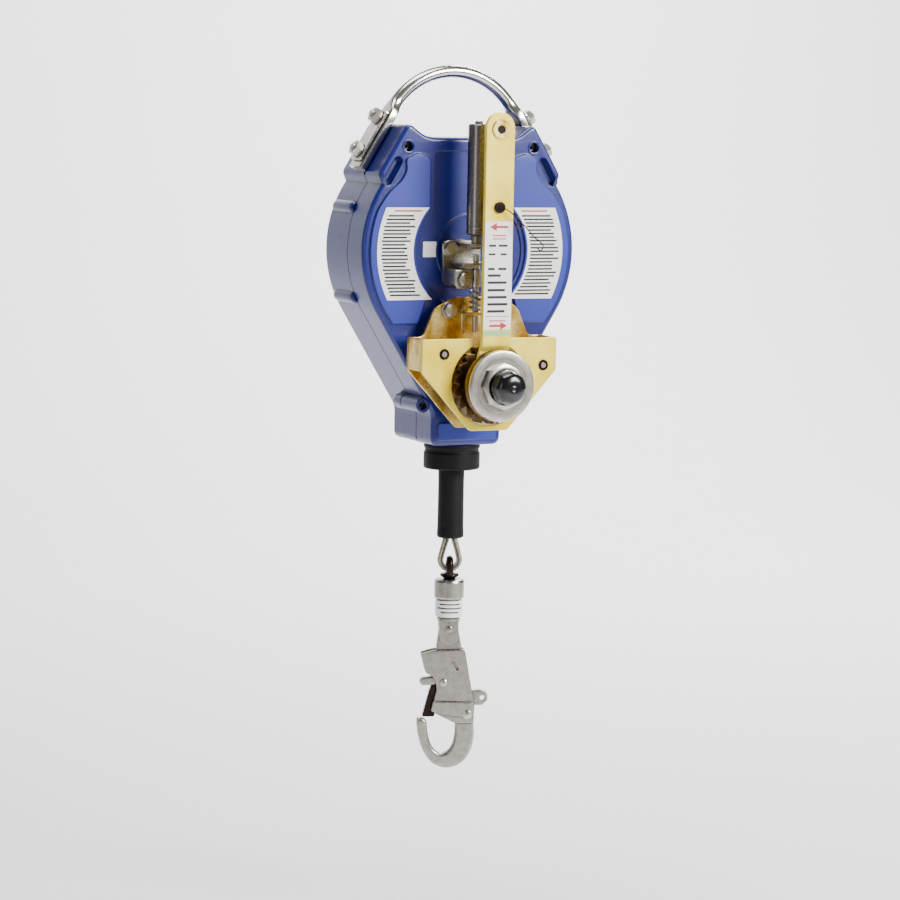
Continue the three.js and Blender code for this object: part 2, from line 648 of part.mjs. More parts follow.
// The rear plate rises in a tapered tongue, and its two side flanges reach forward to the front plate.
function winchBracket() {
  const w = WINCH;
  const sheet = polygon([
    [w.half, w.top], [59, w.top], [47, -56], [24, -45], [-24, -45], [-47, -56], [-59, w.top],
    [-w.half, w.top],
    [-w.half, w.shoulder], [-w.bottomHalf, w.bottom], [w.bottomHalf, w.bottom], [w.half, w.shoulder],
  ]);
  const front = w.rearFront;
  const rear = front + w.rearThick;
  let made = solid(plateXZ(sheet, front, rear));
  for (const side of [-1, 1]) {
    const inner = side > 0 ? w.half - 4 : -w.half;
    const near = w.plateFront + w.plateThick + GAP;
    const flange = box([inner, near, w.shoulder + 1], [inner + 4, front + 1, w.top]);
    made = made.add(solid(flange));
    made = made.subtract(solid(rodY(4.4, front - 5, rear + 5, 16, side * 31, -58)));
  }
  const rib = rodZ(5.5, -83, -50, 16, -15, front + 1.5);
  made = made.add(solid(rib).subtract(solid(box([-40, rear - 0.5, -100], [40, rear + 20, 0]))));
  for (const [x, z] of [[-50, -100], [50, -100], [0, -163]]) {
    made = made.add(solid(rodY(8, rear - 1, CASE.front - GAP, 20, x, z)));
  }
  const seatLow = [GRIP.x - 9, GRIP.y - 8, PLUNGER.seat - 3];
  made = made.add(solid(box(seatLow, [GRIP.x + 9, front + 1, PLUNGER.seat])));
  made = made.subtract(solid(rodZ(PLUNGER.rod + GAP, -90, -40, 12, GRIP.x, GRIP.y)));
  for (const pin of PAWL_PINS) {
    made = made.subtract(solid(rodY(4.3, front - 5, rear - 2, 12, pin.x, pin.z)));
  }
  made = made.subtract(solid(rodY(CRANK_SHAFT.radius + 0.5, front - 5, rear + 5, 24, w.x, w.z)));
  return shell(made);
}

function pawlPin() {
  return join(rodY(5, -WINCH.plateThick - 1.2, 0, 20), rodY(4, -0.5, 29.6, 20));
}

// A catch on its pin: the nose leans on the back of the ratchet teeth.
function winchPawl(pin) {
  const dx = pin.tip[0] - pin.x;
  const dz = pin.tip[1] - pin.z;
  const reach = Math.hypot(dx, dz);
  const nx = -dz / reach;
  const nz = dx / reach;
  const outline = polygon([
    [9 * nx, 9 * nz], [dx + 2.5 * nx, dz + 2.5 * nz], [dx, dz], [-9 * nx, -9 * nz],
    [-0.4 * dx - 4 * nx, -0.4 * dz - 4 * nz], [-0.4 * dx + 4 * nx, -0.4 * dz + 4 * nz],
  ]);
  const thick = 5;
  const body = solid(plateXZ(outline, 0, thick)).add(solid(rodY(9, 0, thick, 20)));
  return shell(body.subtract(solid(rodY(4.3, -1, thick + 1, 20))));
}

function ratchetWheel() {
  const r = RATCHET;
  const teeth = plateXZ(toothedShape(r.root, r.radius, r.teeth, 0.62), r.front, r.rear);
  return cut(teeth, rodY(CRANK_SHAFT.radius + GAP, r.front - 1, r.rear + 1, 24));
}

function brakeDrum() {
  const bore = CRANK_SHAFT.radius + GAP;
  return turnY([
    [bore, -117.7], [34, -117.7], [36, -116], [36, -110], [33, -109], [33, -106], [28, -105.5],
    [28, -103.2],
    [bore, -103.2],
  ], 24);
}

function clampDisc() {
  const bore = CRANK_SHAFT.radius + GAP;
  const d = DISC;
  const rim = [d.radius, d.front + 1.6];
  return turnY([[bore, d.front], [33.5, d.front], rim, [d.radius, d.rear], [bore, d.rear]], FINE);
}

function discNut() {
  const n = NUT;
  const flats = rodY(n.flats, n.front + 0.8, DISC.front - GAP, 8).rotateY(Math.PI / 8);
  const collar = rodY(n.collar, n.front, n.front + 1.2, ROUND);
  const bore = rodY(CRANK_SHAFT.radius + GAP, n.front - 10, DISC.front + 10, 24);
  return cut(join(flats, collar), bore, rodY(n.pocket, n.front - 1, n.pocketRear, FINE));
}

function crankShaft() {
  const s = CRANK_SHAFT;
  return cut(rodY(s.radius, s.front - 5.4, s.rear, 24), rodY(s.bore, s.front - 10, s.rear + 1, 16));
}

function shiftKnob() {
  const k = KNOB;
  const cap = solid(turnY([
    [0, k.front], [13.5, k.front], [16.5, k.front + 2.5], [k.radius, k.front + 8], [k.radius, k.rear - GAP],
    [14, k.rear - GAP], [14, k.rear - 8], [0, k.rear - 8],
  ], 8).rotateY(Math.PI / 8));
  const rod = solid(rodY(CRANK_SHAFT.bore - 0.4, k.rear - 9, PINION.front + 1, 16));
  return shell(cap.add(rod));
}

function pinion() {
  const p = PINION;
  const wheel = plateXZ(toothedShape(p.root, p.radius, p.teeth), p.front, p.rear);
  return cut(wheel, rodY(6, p.front - 1, p.front + 1.3, 16));
}

// A flat bar with a round top; its lower end steps back behind the clamp disc and rings the shaft.
function crankArm() {
  const a = ARM;
  const bar = new THREE.Shape();
  bar.moveTo(-a.half, a.bend - 3);
  bar.lineTo(a.half, a.bend - 3);
  bar.absarc(0, a.top, a.half, 0, Math.PI, false);
  bar.closePath();
  const foot = new THREE.Shape();
  foot.absarc(0, WINCH.z, a.foot, Math.PI, Math.PI * 2, false);
  foot.lineTo(a.half, a.bend);
  foot.lineTo(-a.half, a.bend);
  foot.closePath();
  const back = a.front + a.thick;
  const step = polygon([
    [back, a.bend - 7], [back + a.step, a.bend - 7], [back + a.step, a.bend - 3], [back, a.bend + 2],
    [a.front, a.bend],
  ]);
  const joggle = new THREE.ExtrudeGeometry(step, { depth: 2 * a.half, bevelEnabled: false });
  joggle.rotateX(Math.PI / 2).rotateZ(Math.PI / 2).translate(-a.half, 0, 0);
  let made = solid(plateXZ(bar, a.front, back, 0, 16));
  made = made.subtract(solid(box([-30, a.front - 5, a.bend - 20], [30, back + 5, a.bend + 0.01])));
  made = made.add(solid(joggle));
  made = made.add(solid(plateXZ(foot, back, back + a.step, 0, 16)));
  made = made.subtract(solid(rodY(CRANK_SHAFT.radius + GAP, a.front - 5, back + 9, 24, 0, WINCH.z)));
  made = made.subtract(solid(rodY(6.8, a.front - 5, back + 5, 24, 0, ARM_HOLE.top)));
  made = made.subtract(solid(rodY(4.3, a.front - 5, back + 5, 20, 0, ARM_HOLE.lock)));
  return shell(made);
}

function armBushing() {
  const front = ARM.front;
  return turnY([
    [4, front - 1.6], [9.5, front - 1.6], [9.5, front - GAP], [6.5, front - GAP],
    [6.5, front + ARM.thick - GAP],
    [4, front + ARM.thick - GAP],
  ], 20);
}

function armLockPin() {
  const head = rodY(5.6, ARM.front - 3, ARM.front - GAP, 20);
  return join(head, rodY(4, ARM.front - 1, ARM.front + ARM.thick + 0.8, 12));
}

// ---- hand grip and its clip ----
function handGrip() {
  const g = GRIP;
  return turnZ([
    [0, g.neckLow], [g.neck - 1, g.neckLow], [g.neck, g.neckLow + 1], [g.neck, g.bottom - 1.5],
    [g.radius - 1, g.bottom], [g.radius, g.bottom + 1], [g.radius, g.top - 1], [g.radius - 1, g.top],
    [g.cap, g.top], [g.cap, g.top + 3], [0, g.top + 3],
  ], 16);
}

// A plate on the hub of the case with two shelves that carry the grip neck and the latch rod.
function gripBracket() {
  const b = BRACKET;
  const front = -b.thick + b.back;
  let made = solid(box([b.left, front, b.low], [b.right, b.back, b.top]));
  for (const { low, left } of SHELVES) {
    made = made.add(solid(box([left, GRIP.y - b.reach, low], [b.right, front + 1, low + b.shelf])));
  }
  made = made.add(solid(rodY(12, b.back - 1, CASE.front - GAP, 24, -12, 0)));
  made = made.subtract(solid(rodZ(GRIP.neck + GAP, 0, 20, 20, GRIP.x, GRIP.y)));
  made = made.subtract(solid(rodZ(PLUNGER.rod + GAP, -40, 0, 16, GRIP.x, GRIP.y)));
  made = made.subtract(solid(rodY(4.3, front - 5, b.back + 5, 16, ...CLIP_BOLT)));
  return shell(made);
}

function clampBlock() {
  const outline = polygon([
    [-31, -36], [-18, -36], [-14.3, -31], [-14.3, -16.3], [-34.5, -16.3], [-34.5, -31],
  ]);
  const block = solid(plateXZ(outline, GRIP.y - 6, -54, 0));
  return shell(block.add(solid(rodY(7, GRIP.y - 9, GRIP.y - 5, 24, -24.3, -26))));
}

function latchPlunger() {
  const p = PLUNGER;
  return join(rodZ(p.radius, p.collarLow, p.collarTop, 24), rodZ(p.rod, p.rodLow, p.rodTop, 16));
}

function latchSpring() {
  const points = [];
  const turns = 4;
  const steps = turns * 7;
  for (let i = 0; i <= steps; i += 1) {
    const angle = (i / steps) * turns * Math.PI * 2;
    points.push(new THREE.Vector3(5.4 * Math.cos(angle), 5.4 * Math.sin(angle), -36 - (22 * i) / steps));
  }
  return wireAlong(new THREE.CatmullRomCurve3(points), 0.9, steps, 6);
}

function flangeBolt(shank) {
  return join(rodY(7, -6, 0, 6), rodY(4, -1, shank, 12));
}

// ---- assembly ----
function addHousing(unit) {
  place(unit, 'front_shell', frontShell(), ENAMEL);
  place(unit, 'rear_shell', rearShell(), ENAMEL);
  place(unit, 'shell_gasket', shellGasket(), RUBBER);
  place(unit, 'anchor_handle', anchorHandle(), STAINLESS);
  const legOut = HANDLE.arcHeight * Math.sin(TILT) + HANDLE.arcRadius + HANDLE.legThick / 2;
  for (const [name, side] of [['left', -1], ['right', 1]]) {
    const holder = new THREE.Group();
    holder.rotation.y = -side * TILT;
    unit.add(holder);
    const strapOut = legOut + GAP + STRAP.thick / 2;
    const middle = (STRAP.low + STRAP.top) / 2;
    const spot = [side * strapOut, 0, middle];
    place(holder, `${name}_strap`, strapPlate(), STAINLESS, spot, [0, 0, Math.PI / 2]);
    const boltOut = legOut + STRAP.thick + 2 * GAP + 1.6;
    BOLT_PLACES.forEach((along, i) => {
      const turn = [0, 0, side * Math.PI / 2];
      place(holder, `${name}_handle_bolt_${i + 1}`, handleBolt(), ZINC, [side * boltOut, 0, along], turn);
    });
  }
  const n = NOZZLE;
  place(unit, 'nozzle_collar', turnZ([
    [n.bore, n.bottom], [n.radius - 1.5, n.bottom], [n.radius, n.bottom + 1.5], [n.radius, -207],
    [n.radius - 1.2, -206],
    [n.radius - 1.2, -203], [n.radius, -202], [n.radius, n.top], [n.bore, n.top],
  ]), RUBBER, [0, ROPE.y, 0]);
  const bush = ringZ(BUSH.bore, BUSH.outer, BUSH.bottom, BUSH.top, 24);
  place(unit, 'rope_guide_bush', bush, BRONZE, [0, ROPE.y, 0]);
}

function addInside(unit) {
  const s = SHAFT;
  place(unit, 'front_bearing', ringY(s.radius + GAP, BEARING.outer, s.front, s.front + BEARING.wide), ZINC);
  place(unit, 'rear_bearing', ringY(s.radius + GAP, BEARING.outer, s.rear - BEARING.wide, s.rear), ZINC);
  place(unit, 'spring_case', springCase(), ZINC);
  place(unit, 'power_spring', powerSpring(), SPRING_STEEL);
  place(unit, 'brake_ring', brakeRing(), BRONZE);
  place(unit, 'cable_drum', drum(), CAST_ALLOY);
  place(unit, 'drum_shaft', rodY(s.radius - 0.1, s.front, s.rear, 32), STAINLESS);
  const w = WINDING;
  const half = 12.1;
  place(unit, 'lifeline_winding', ringY(w.inner, w.outer, ROPE.y - half, ROPE.y + half, FINE), WIRE);
  for (const [name, side] of [['left', -1], ['right', 1]]) {
    const at = [side * SPEED_PAWL.pivot, SPEED_PAWL.front, 0];
    place(unit, `speed_pawl_${name}`, speedPawl(), DARK_STEEL, at, [0, -side * Math.PI / 2, 0]);
  }
}

function addLifeline(unit) {
  const line = new THREE.Group();
  line.position.y = ROPE.y;
  line.rotation.z = HOOK_TURN;
  unit.add(line);
  place(line, 'lifeline_run', wireAlong(lifelinePath(), ROPE.thick / 2, 48, 8), WIRE);
  place(line, 'rope_ferrule', ferrule(), ZINC);
  place(line, 'bumper_sleeve', sleeve(), RUBBER);
  place(line, 'thimble', thimble(), ZINC);
  place(line, 'swivel_bail', swivelBail(), DARK_STEEL);
  place(line, 'swivel_body', swivelBody(), ZINC);
  place(line, 'swivel_band', ringZ(SWIVEL.stem + GAP, 14.2, -378, -361), WHITE_PLASTIC);
  place(line, 'swivel_clevis', clevis(), ZINC);
  place(line, 'hook_body', hookBody(), ZINC);
  place(line, 'hook_gate', hookGate(), DARK_STEEL, [GATE.x, 0, GATE.z]);
  place(line, 'gate_pin', rivet(HOOK.cover / 2 + 2.2, 2.3), ZINC, [GATE.x, 0, GATE.z]);
  place(line, 'lock_lever', lockLever(), ZINC, [LEVER.x, 0, LEVER.z]);
  place(line, 'lever_pin', rivet(HOOK.cover / 2 + 2.2, 2.3), ZINC, [LEVER.x, 0, LEVER.z]);
}

function addWinch(unit) {
  const w = WINCH;
  place(unit, 'winch_bracket', winchBracket(), YELLOW_ZINC);
  place(unit, 'winch_front_plate', winchFrontPlate(), YELLOW_ZINC);
  for (const pin of PAWL_PINS) {
    place(unit, `pawl_pin_${pin.name}`, pawlPin(), ZINC, [pin.x, w.plateFront + w.plateThick, pin.z]);
    const spot = [pin.x, w.plateFront + w.plateThick + 2 * GAP, pin.z];
    place(unit, `winch_pawl_${pin.name}`, winchPawl(pin), DARK_STEEL, spot);
  }
  for (const [name, side] of [['left', -1], ['right', 1]]) {
    place(unit, `bracket_bolt_${name}`, flangeBolt(10), ZINC, [side * 31, w.rearFront - GAP, -58]);
  }
  const hub = [w.x, 0, w.z];
  place(unit, 'ratchet_wheel', ratchetWheel(), BRONZE, hub);
  place(unit, 'crank_shaft', crankShaft(), DARK_STEEL, hub);
  place(unit, 'brake_drum', brakeDrum(), BRONZE, hub);
  place(unit, 'clamp_disc', clampDisc(), ZINC, hub);
  place(unit, 'disc_nut', discNut(), ZINC, hub);
  place(unit, 'crank_arm', crankArm(), YELLOW_ZINC);
  place(unit, 'arm_bushing', armBushing(), ZINC, [0, 0, ARM_HOLE.top]);
  place(unit, 'arm_lock_pin', armLockPin(), ZINC, [0, 0, ARM_HOLE.lock]);
  place(unit, 'shift_knob', shiftKnob(), BLACK_PLASTIC, hub);
  place(unit, 'pinion', pinion(), DARK_STEEL, hub);
}

function addGrip(unit) {
  const b = BRACKET;
  const front = b.back - b.thick;
  place(unit, 'hand_grip', handGrip(), DARK_STEEL, [GRIP.x, GRIP.y, 0]);
  place(unit, 'grip_bracket', gripBracket(), ZINC);
  place(unit, 'clamp_block', clampBlock(), ZINC);
  place(unit, 'bracket_bolt_upper', flangeBolt(3.5), ZINC, [CLIP_BOLT[0], front - GAP, CLIP_BOLT[1]]);
  place(unit, 'latch_plunger', latchPlunger(), ZINC, [GRIP.x, GRIP.y, 0]);
  place(unit, 'latch_spring', latchSpring(), SPRING_STEEL, [GRIP.x, GRIP.y, 0]);
}

// A thin twisted seal wire through the head of the lock pin, its tail hanging beside the arm.
function addSealWire(unit) {
  const route = [
    [4, -112, 45], [8, -113, 43], [13, -114, 39], [18, -115, 35], [21, -116, 29], [18, -117, 24],
    [15, -116, 28], [19, -115, 32], [25, -115, 28], [31, -115, 22], [36, -115, 17], [42, -115, 13],
    [46, -115, 8], [43, -116, 4],
    [38, -116, 7],
  ];
  const path = new THREE.CatmullRomCurve3(route.map((p) => new THREE.Vector3(...p)), false, 'centripetal');
  place(unit, 'seal_wire', wireAlong(path, 0.6, 30, 8), WIRE);
}

const lifelineUnit = new THREE.Group();
const unit = new THREE.Group();
unit.position.z = -ANCHOR_HEIGHT;
lifelineUnit.add(unit);
addHousing(unit);
addInside(unit);
addLifeline(unit);
addWinch(unit);
addGrip(unit);
addSealWire(unit);

export default lifelineUnit;
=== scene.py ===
"""Looks of a self retracting lifeline with a retrieval winch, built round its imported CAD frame."""

import json
import math

import bmesh
import bpy
import numpy as np
from bpy.props import FloatProperty, FloatVectorProperty, IntProperty, PointerProperty
from mathutils import Matrix, Vector
from mathutils.geometry import tessellate_polygon


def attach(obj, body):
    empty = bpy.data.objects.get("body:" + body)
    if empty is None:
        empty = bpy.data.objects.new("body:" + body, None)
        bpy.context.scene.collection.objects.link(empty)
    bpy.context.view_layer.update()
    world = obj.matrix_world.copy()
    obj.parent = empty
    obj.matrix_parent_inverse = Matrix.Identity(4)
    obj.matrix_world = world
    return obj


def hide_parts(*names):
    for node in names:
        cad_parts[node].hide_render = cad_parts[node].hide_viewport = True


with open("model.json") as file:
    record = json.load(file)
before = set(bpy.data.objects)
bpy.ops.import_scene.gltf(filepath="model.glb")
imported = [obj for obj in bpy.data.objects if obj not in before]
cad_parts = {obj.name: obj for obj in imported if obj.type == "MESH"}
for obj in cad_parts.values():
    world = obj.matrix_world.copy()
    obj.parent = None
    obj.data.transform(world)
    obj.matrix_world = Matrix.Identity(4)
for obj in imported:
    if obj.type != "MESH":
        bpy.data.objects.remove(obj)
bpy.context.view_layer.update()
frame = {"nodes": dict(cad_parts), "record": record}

bl_info = {
    "name": "Self retracting lifeline",
    "version": (1, 0, 0),
    "blender": (4, 5, 0),
    "location": "View3D > Sidebar > Lifeline",
    "description": "Builds the finished surfaces of a self retracting lifeline with a retrieval winch",
    "category": "Object",
}

MM = 0.001
TURN = 2 * math.pi

# Places in millimetres, measured from the drum axis; the row's origin lies above it, on the handle.
ANCHOR = 173.5
TILT = math.radians(31.5)
ROPE_Y = -12.5
HOOK_TURN = math.radians(-22.0)
HUB_Z = -130.0
GRIP_X = -8.0
GRIP_Y = -75.0
LUGS = (49.5, -155.0)
CASE_FRONT = -45.0
CASE_REAR = 47.5
PARTING = -8.0
ARM_FRONT = -107.7


# ---------------------------------------------------------------- sizes and colours


class LifelineSizes(bpy.types.PropertyGroup):
    """Sizes that a user would change, in millimetres."""

    case_radius: FloatProperty(name="Case radius", description="Round part of the case", default=119.0,
                               min=50)
    case_edge: FloatProperty(name="Case edge", description="Rounding of the cast edges", default=4.0, min=1)
    panel_rise: FloatProperty(name="Panel rise", description="Height of the label panels", default=2.5,
                              min=0.5)
    bar: FloatProperty(name="Handle bar", description="Diameter of the anchor handle's bar", default=13.0,
                       min=4)
    rope: FloatProperty(name="Rope", description="Diameter of the wire rope", default=4.8, min=1)
    rope_length: FloatProperty(name="Wound rope", description="Length on the drum, in metres", default=15.0,
                               min=1)
    strands: IntProperty(name="Strands", description="Strands that show round the rope", default=6, min=3)
    rope_lay: FloatProperty(name="Lay", description="Length of one twist of the rope", default=30.0, min=5)


def colour(label, value):
    """An sRGB colour property whose default is given as a hex value."""
    return FloatVectorProperty(name=label, description=f"Colour of the {label.lower()}", subtype="COLOR",
                               size=3, default=linear(value))


def linear(value):
    """An sRGB hex value turned to linear red, green and blue."""
    parts = [int(value[i : i + 2], 16) / 255 for i in (1, 3, 5)]
    return tuple(c / 12.92 if c <= 0.04045 else ((c + 0.055) / 1.055) ** 2.4 for c in parts)


class LifelineColours(bpy.types.PropertyGroup):
    """Colours of the finishes."""

    # Enamel and Deep enamel are one blue paint in two tones: the paler paints light on the raised panels, the
    # deeper paints shade on the rest of the case.
    enamel: colour("Enamel", "#13278C")
    enamel_shaded: colour("Deep enamel", "#0A1668")
    stainless: colour("Stainless steel", "#C9C4BB")
    zinc: colour("Zinc plate", "#B9B3AA")
    chromate: colour("Yellow chromate", "#EECB18")
    chromate_gold: colour("Gold chromate", "#C4942A")
    bronze: colour("Bronze", "#6B5438")
    dark_steel: colour("Dark steel", "#857F7A")
    brown_steel: colour("Browned steel", "#2C2321")
    rubber: colour("Rubber", "#090808")
    film: colour("Label film", "#F2F0EC")
    ink: colour("Ink", "#0E0E10")
    red_ink: colour("Red ink", "#B02408")
    rope: colour("Galvanised wire", "#9C9384")


# ---------------------------------------------------------------- outlines


def unit(vectors):
    """Vectors divided by their own lengths."""
    return vectors / np.maximum(np.linalg.norm(vectors, axis=-1, keepdims=True), 1e-12)


def arc(cx, cz, radius, start, end, count):
    """Points on a circle from one angle to another, in degrees."""
    t = np.radians(np.linspace(start, end, count))
    return np.stack([cx + radius * np.cos(t), cz + radius * np.sin(t)], axis=1)


def rounded(corners, steps=5):
    """A closed outline from (x, z, radius) corners.

    A corner with a radius becomes a quadratic curve that leaves and meets its two edges at that
    distance, or at 45% of the shorter edge; a corner without one stays a point.
    """
    points = np.array([c[:2] for c in corners], float)
    before = np.roll(points, 1, 0) - points
    after = np.roll(points, -1, 0) - points
    reach = np.minimum(np.linalg.norm(before, axis=1), np.linalg.norm(after, axis=1)) * 0.45
    loop = []
    t = np.linspace(0, 1, steps)[:, None]
    for i, corner in enumerate(corners):
        size = corner[2] if len(corner) > 2 else 0
        if size <= 0:
            loop.append(points[i : i + 1])
            continue
        size = min(size, reach[i])
        start = points[i] + unit(before[i]) * size
        end = points[i] + unit(after[i]) * size
        loop.append((1 - t) ** 2 * start + 2 * t * (1 - t) * points[i] + t**2 * end)
    return np.concatenate(loop)


def inset(loop, distance):
    """The parallel of a counterclockwise loop, moved inwards along the mitre of each corner."""
    along = unit(np.roll(loop, -1, 0) - loop)
    left = np.stack([-along[:, 1], along[:, 0]], axis=1)
    before = np.roll(left, 1, 0)
    mitre = (left + before) / np.maximum(1 + (left * before).sum(1), 0.35)[:, None]
    return loop + mitre * distance


def mirrored(loop):
    """The loop turned over left to right, still counterclockwise."""
    return (loop * [-1, 1])[::-1]


def circle(cx, cz, radius, count=32):
    return arc(cx, cz, radius, 0, 360 - 360 / count, count)


def shoulder(side, out, along):
    """A point out from the drum axis square to the handle's shoulder, and up along the shoulder."""
    x = out * math.cos(TILT) - along * math.sin(TILT)
    return side * x, out * math.sin(TILT) + along * math.cos(TILT)


def toothed(root, tip, teeth, lean=0.0):
    """A wheel's outline: each tooth rises, runs along its tip and drops, sharply when it leans."""
    parts = [(0, root), (0.55, tip), (0.85, tip), (0.92, root)] if lean else [(0, root), (0.2, tip),
                                                                              (0.5, tip), (0.7, root)]
    angle = np.add.outer(np.arange(teeth), [p[0] for p in parts]).ravel() * TURN / teeth
    radius = np.tile([p[1] for p in parts], teeth)
    return np.stack([radius * np.cos(angle), radius * np.sin(angle)], axis=1)


def quarter(radius, steps=5):
    """How far in and how far along a rounded edge has come, from its side to its face."""
    t = np.linspace(0, math.pi / 2, steps)
    return list(zip(radius * (1 - np.cos(t)), radius * np.sin(t)))


def terrace_step(low, high, radius, steps=4):
    """(inset, y) pairs of a step between two levels, with a fillet at its foot and at its top."""
    way = 1 if high > low else -1
    t = np.linspace(0, math.pi / 2, steps)
    foot = zip(radius * np.sin(t), low + way * radius * (1 - np.cos(t)))
    top = zip(radius + radius * (1 - np.cos(t)), high - way * radius * (1 - np.sin(t)))
    return list(foot) + list(top)


# ---------------------------------------------------------------- surfaces


class Form:
    """Points and faces of one piece, in millimetres from the drum axis."""

    def __init__(self):
        self.points = []
        self.faces = []
        self.count = 0

    def add_points(self, points):
        start = self.count
        self.points.append(np.asarray(points, float).reshape(-1, 3))
        self.count += len(self.points[-1])
        return np.arange(start, self.count)

    def add_grid(self, grid, close_rows=False, close_columns=True, cap_ends=False):
        """Quads over a grid of points, closed round either way, with its end rows filled if asked."""
        rows, columns = grid.shape[:2]
        index = self.add_points(grid).reshape(rows, columns)
        down = np.roll(index, -1, 0) if close_rows else index[1:]
        here = index if close_rows else index[:-1]
        right = np.roll(here, -1, 1)
        down_right = np.roll(down, -1, 1)
        quads = np.stack([here, right, down_right, down], axis=2)
        if not close_columns:
            quads = quads[:, :-1]
        self.faces += quads.reshape(-1, 4).tolist()
        if cap_ends:
            self.faces.append(index[0].tolist())
            self.faces.append(index[-1][::-1].tolist())

    def ring(self, loop, y):
        return self.add_points(np.stack([loop[:, 0], np.full(len(loop), y), loop[:, 1]], axis=1))

    def wall(self, rings):
        for a, b in zip(rings, rings[1:]):
            self.faces += np.stack([a, np.roll(a, -1), np.roll(b, -1), b], axis=1).tolist()

    def cap(self, outer, holes=()):
        """A flat face between an outer ring and the rings of its holes, cut into triangles."""
        cloud = np.concatenate(self.points)
        index = np.concatenate([outer, *holes])
        flat = [[(x, z, 0) for x, z in cloud[ring][:, [0, 2]]] for ring in (outer, *holes)]
        self.faces += [[int(index[i]) for i in face] for face in tessellate_polygon(flat)]

    def terrace(self, loop, profile, children=()):
        """A wall that follows loop through (inset, y) steps to a flat level.

        children are terraces that stand on, or sink into, that level.
        """
        rings = [self.ring(inset(loop, side), y) for side, y in profile]
        self.wall(rings)
        self.cap(rings[-1], [self.terrace(*child) for child in children])
        return rings[0]

    def plate(self, loop, front, rear, edge=0.5, holes=(), steps=4):
        """A flat plate from front to rear along Y, its edges and its holes' edges rounded."""
        curve = quarter(edge, steps)
        profile = [(side, front + edge - go) for side, go in curve][::-1]
        profile += [(side, rear - edge + go) for side, go in curve]
        outer = [self.ring(inset(loop, side), y) for side, y in profile]
        inner = [[self.ring(inset(hole, -side), y) for side, y in profile] for hole in holes]
        self.wall(outer)
        for rings in inner:
            self.wall(rings)
        self.cap(outer[0], [rings[0] for rings in inner])
        self.cap(outer[-1], [rings[-1] for rings in inner])
        return self

    def lathe(self, profile, centre=(0, 0, 0), axis="Y", sides=64, soft=0.0):
        """A profile of (radius, along) points turned about an axis; it closes on itself or at the axis."""
        if soft:
            profile = rounded([(r, a, soft if r > 0 else 0) for r, a in profile], 4)
        profile = np.array(profile, float)
        t = np.linspace(0, TURN, sides, endpoint=False)
        radius = profile[:, 0:1]
        along = np.broadcast_to(profile[:, 1:2], (len(profile), sides))
        across, up = radius * np.cos(t), radius * np.sin(t)
        order = {"Y": (across, along, up), "Z": (across, up, along), "X": (along, across, up)}[axis]
        self.add_grid(np.stack(order, axis=2) + np.array(centre, float), close_rows=True)
        return self

    def sweep(self, path, section, normal, closed=False):
        """A section carried along a path.

        Each section point stands off the path by its first number along the side direction, which is
        square to the path and to normal, and by its second along the remaining direction.
        """
        tangent = np.gradient(path, axis=0)
        if closed:
            tangent = np.roll(path, -1, 0) - np.roll(path, 1, 0)
        tangent = unit(tangent)
        normal = np.broadcast_to(np.asarray(normal, float), path.shape)
        side = unit(np.cross(tangent, normal))
        rest = unit(np.cross(side, tangent))
        section = np.broadcast_to(section, (len(path), *section.shape[-2:]))
        grid = path[:, None] + section[..., :1] * side[:, None] + section[..., 1:] * rest[:, None]
        self.add_grid(grid, close_rows=closed, cap_ends=not closed)
        return self

    def join(self, other, turn=None, shift=(0, 0, 0)):
        """Another form's points, turned by a 3 by 3 matrix and moved, with its faces."""
        cloud = np.concatenate(other.points)
        if turn is not None:
            cloud = cloud @ np.asarray(turn).T
        start = self.add_points(cloud + np.array(shift, float))[0]
        self.faces += [[int(i + start) for i in face] for face in other.faces]
        return self


def about_y(angle):
    c, s = math.cos(angle), math.sin(angle)
    return np.array([[c, 0, s], [0, 1, 0], [-s, 0, c]])


def about_z(angle):
    c, s = math.cos(angle), math.sin(angle)
    return np.array([[c, -s, 0], [s, c, 0], [0, 0, 1]])


def hung(form):
    """The same form turned about the rope to the way that the hook faces, and moved onto the rope."""
    return Form().join(form, about_z(HOOK_TURN), (0, ROPE_Y, 0))


def oval(half_side, half_rest, count=24, power=2.0):
    """A superellipse section: round at power 2 and nearly a rectangle at power 6."""
    t = np.linspace(0, TURN, count, endpoint=False)
    c, s = np.cos(t), np.sin(t)
    return np.stack([
        half_side * np.sign(c) * np.abs(c) ** (2 / power), half_rest * np.sign(s) * np.abs(s) ** (2 / power)
    ], axis=-1)


def smooth_path(points, steps):
    """A Catmull-Rom curve through points, with the same number of steps between each two."""
    p = np.asarray(points, float)
    p = np.concatenate([2 * p[:1] - p[1:2], p, 2 * p[-1:] - p[-2:-1]])
    a, b, c, d = p[:-3, None], p[1:-2, None], p[2:-1, None], p[3:, None]
    t = np.linspace(0, 1, steps, endpoint=False)[None, :, None]
    curve = 0.5 * (2 * b + (c - a) * t + (2 * a - 5 * b + 4 * c - d) * t**2 + (3 * b - a - 3 * c + d) * t**3)
    return np.concatenate([curve.reshape(-1, p.shape[1]), p[-2:-1]])


def even_path(path, spacing):
    """The same path with its points an even distance apart."""
    run = np.concatenate([[0], np.cumsum(np.linalg.norm(np.diff(path, axis=0), axis=1))])
    at = np.linspace(0, run[-1], max(int(run[-1] / spacing), 2) + 1)
    return np.stack([np.interp(at, run, path[:, k]) for k in range(3)], axis=1)


def rope_section(path, diameter, strands, lay, sides=30):
    """A rope's section at each point of its path: round strands that turn once in each lay."""
    run = np.concatenate([[0], np.cumsum(np.linalg.norm(np.diff(path, axis=0), axis=1))])
    t = np.linspace(0, TURN, sides, endpoint=False)
    phase = strands * (t[None, :] - run[:, None] * TURN / lay) / 2
    radius = diameter / 2 * (1 - 0.2 * (1 - np.abs(np.cos(phase))))
    return np.stack([radius * np.cos(t), radius * np.sin(t)], axis=-1)


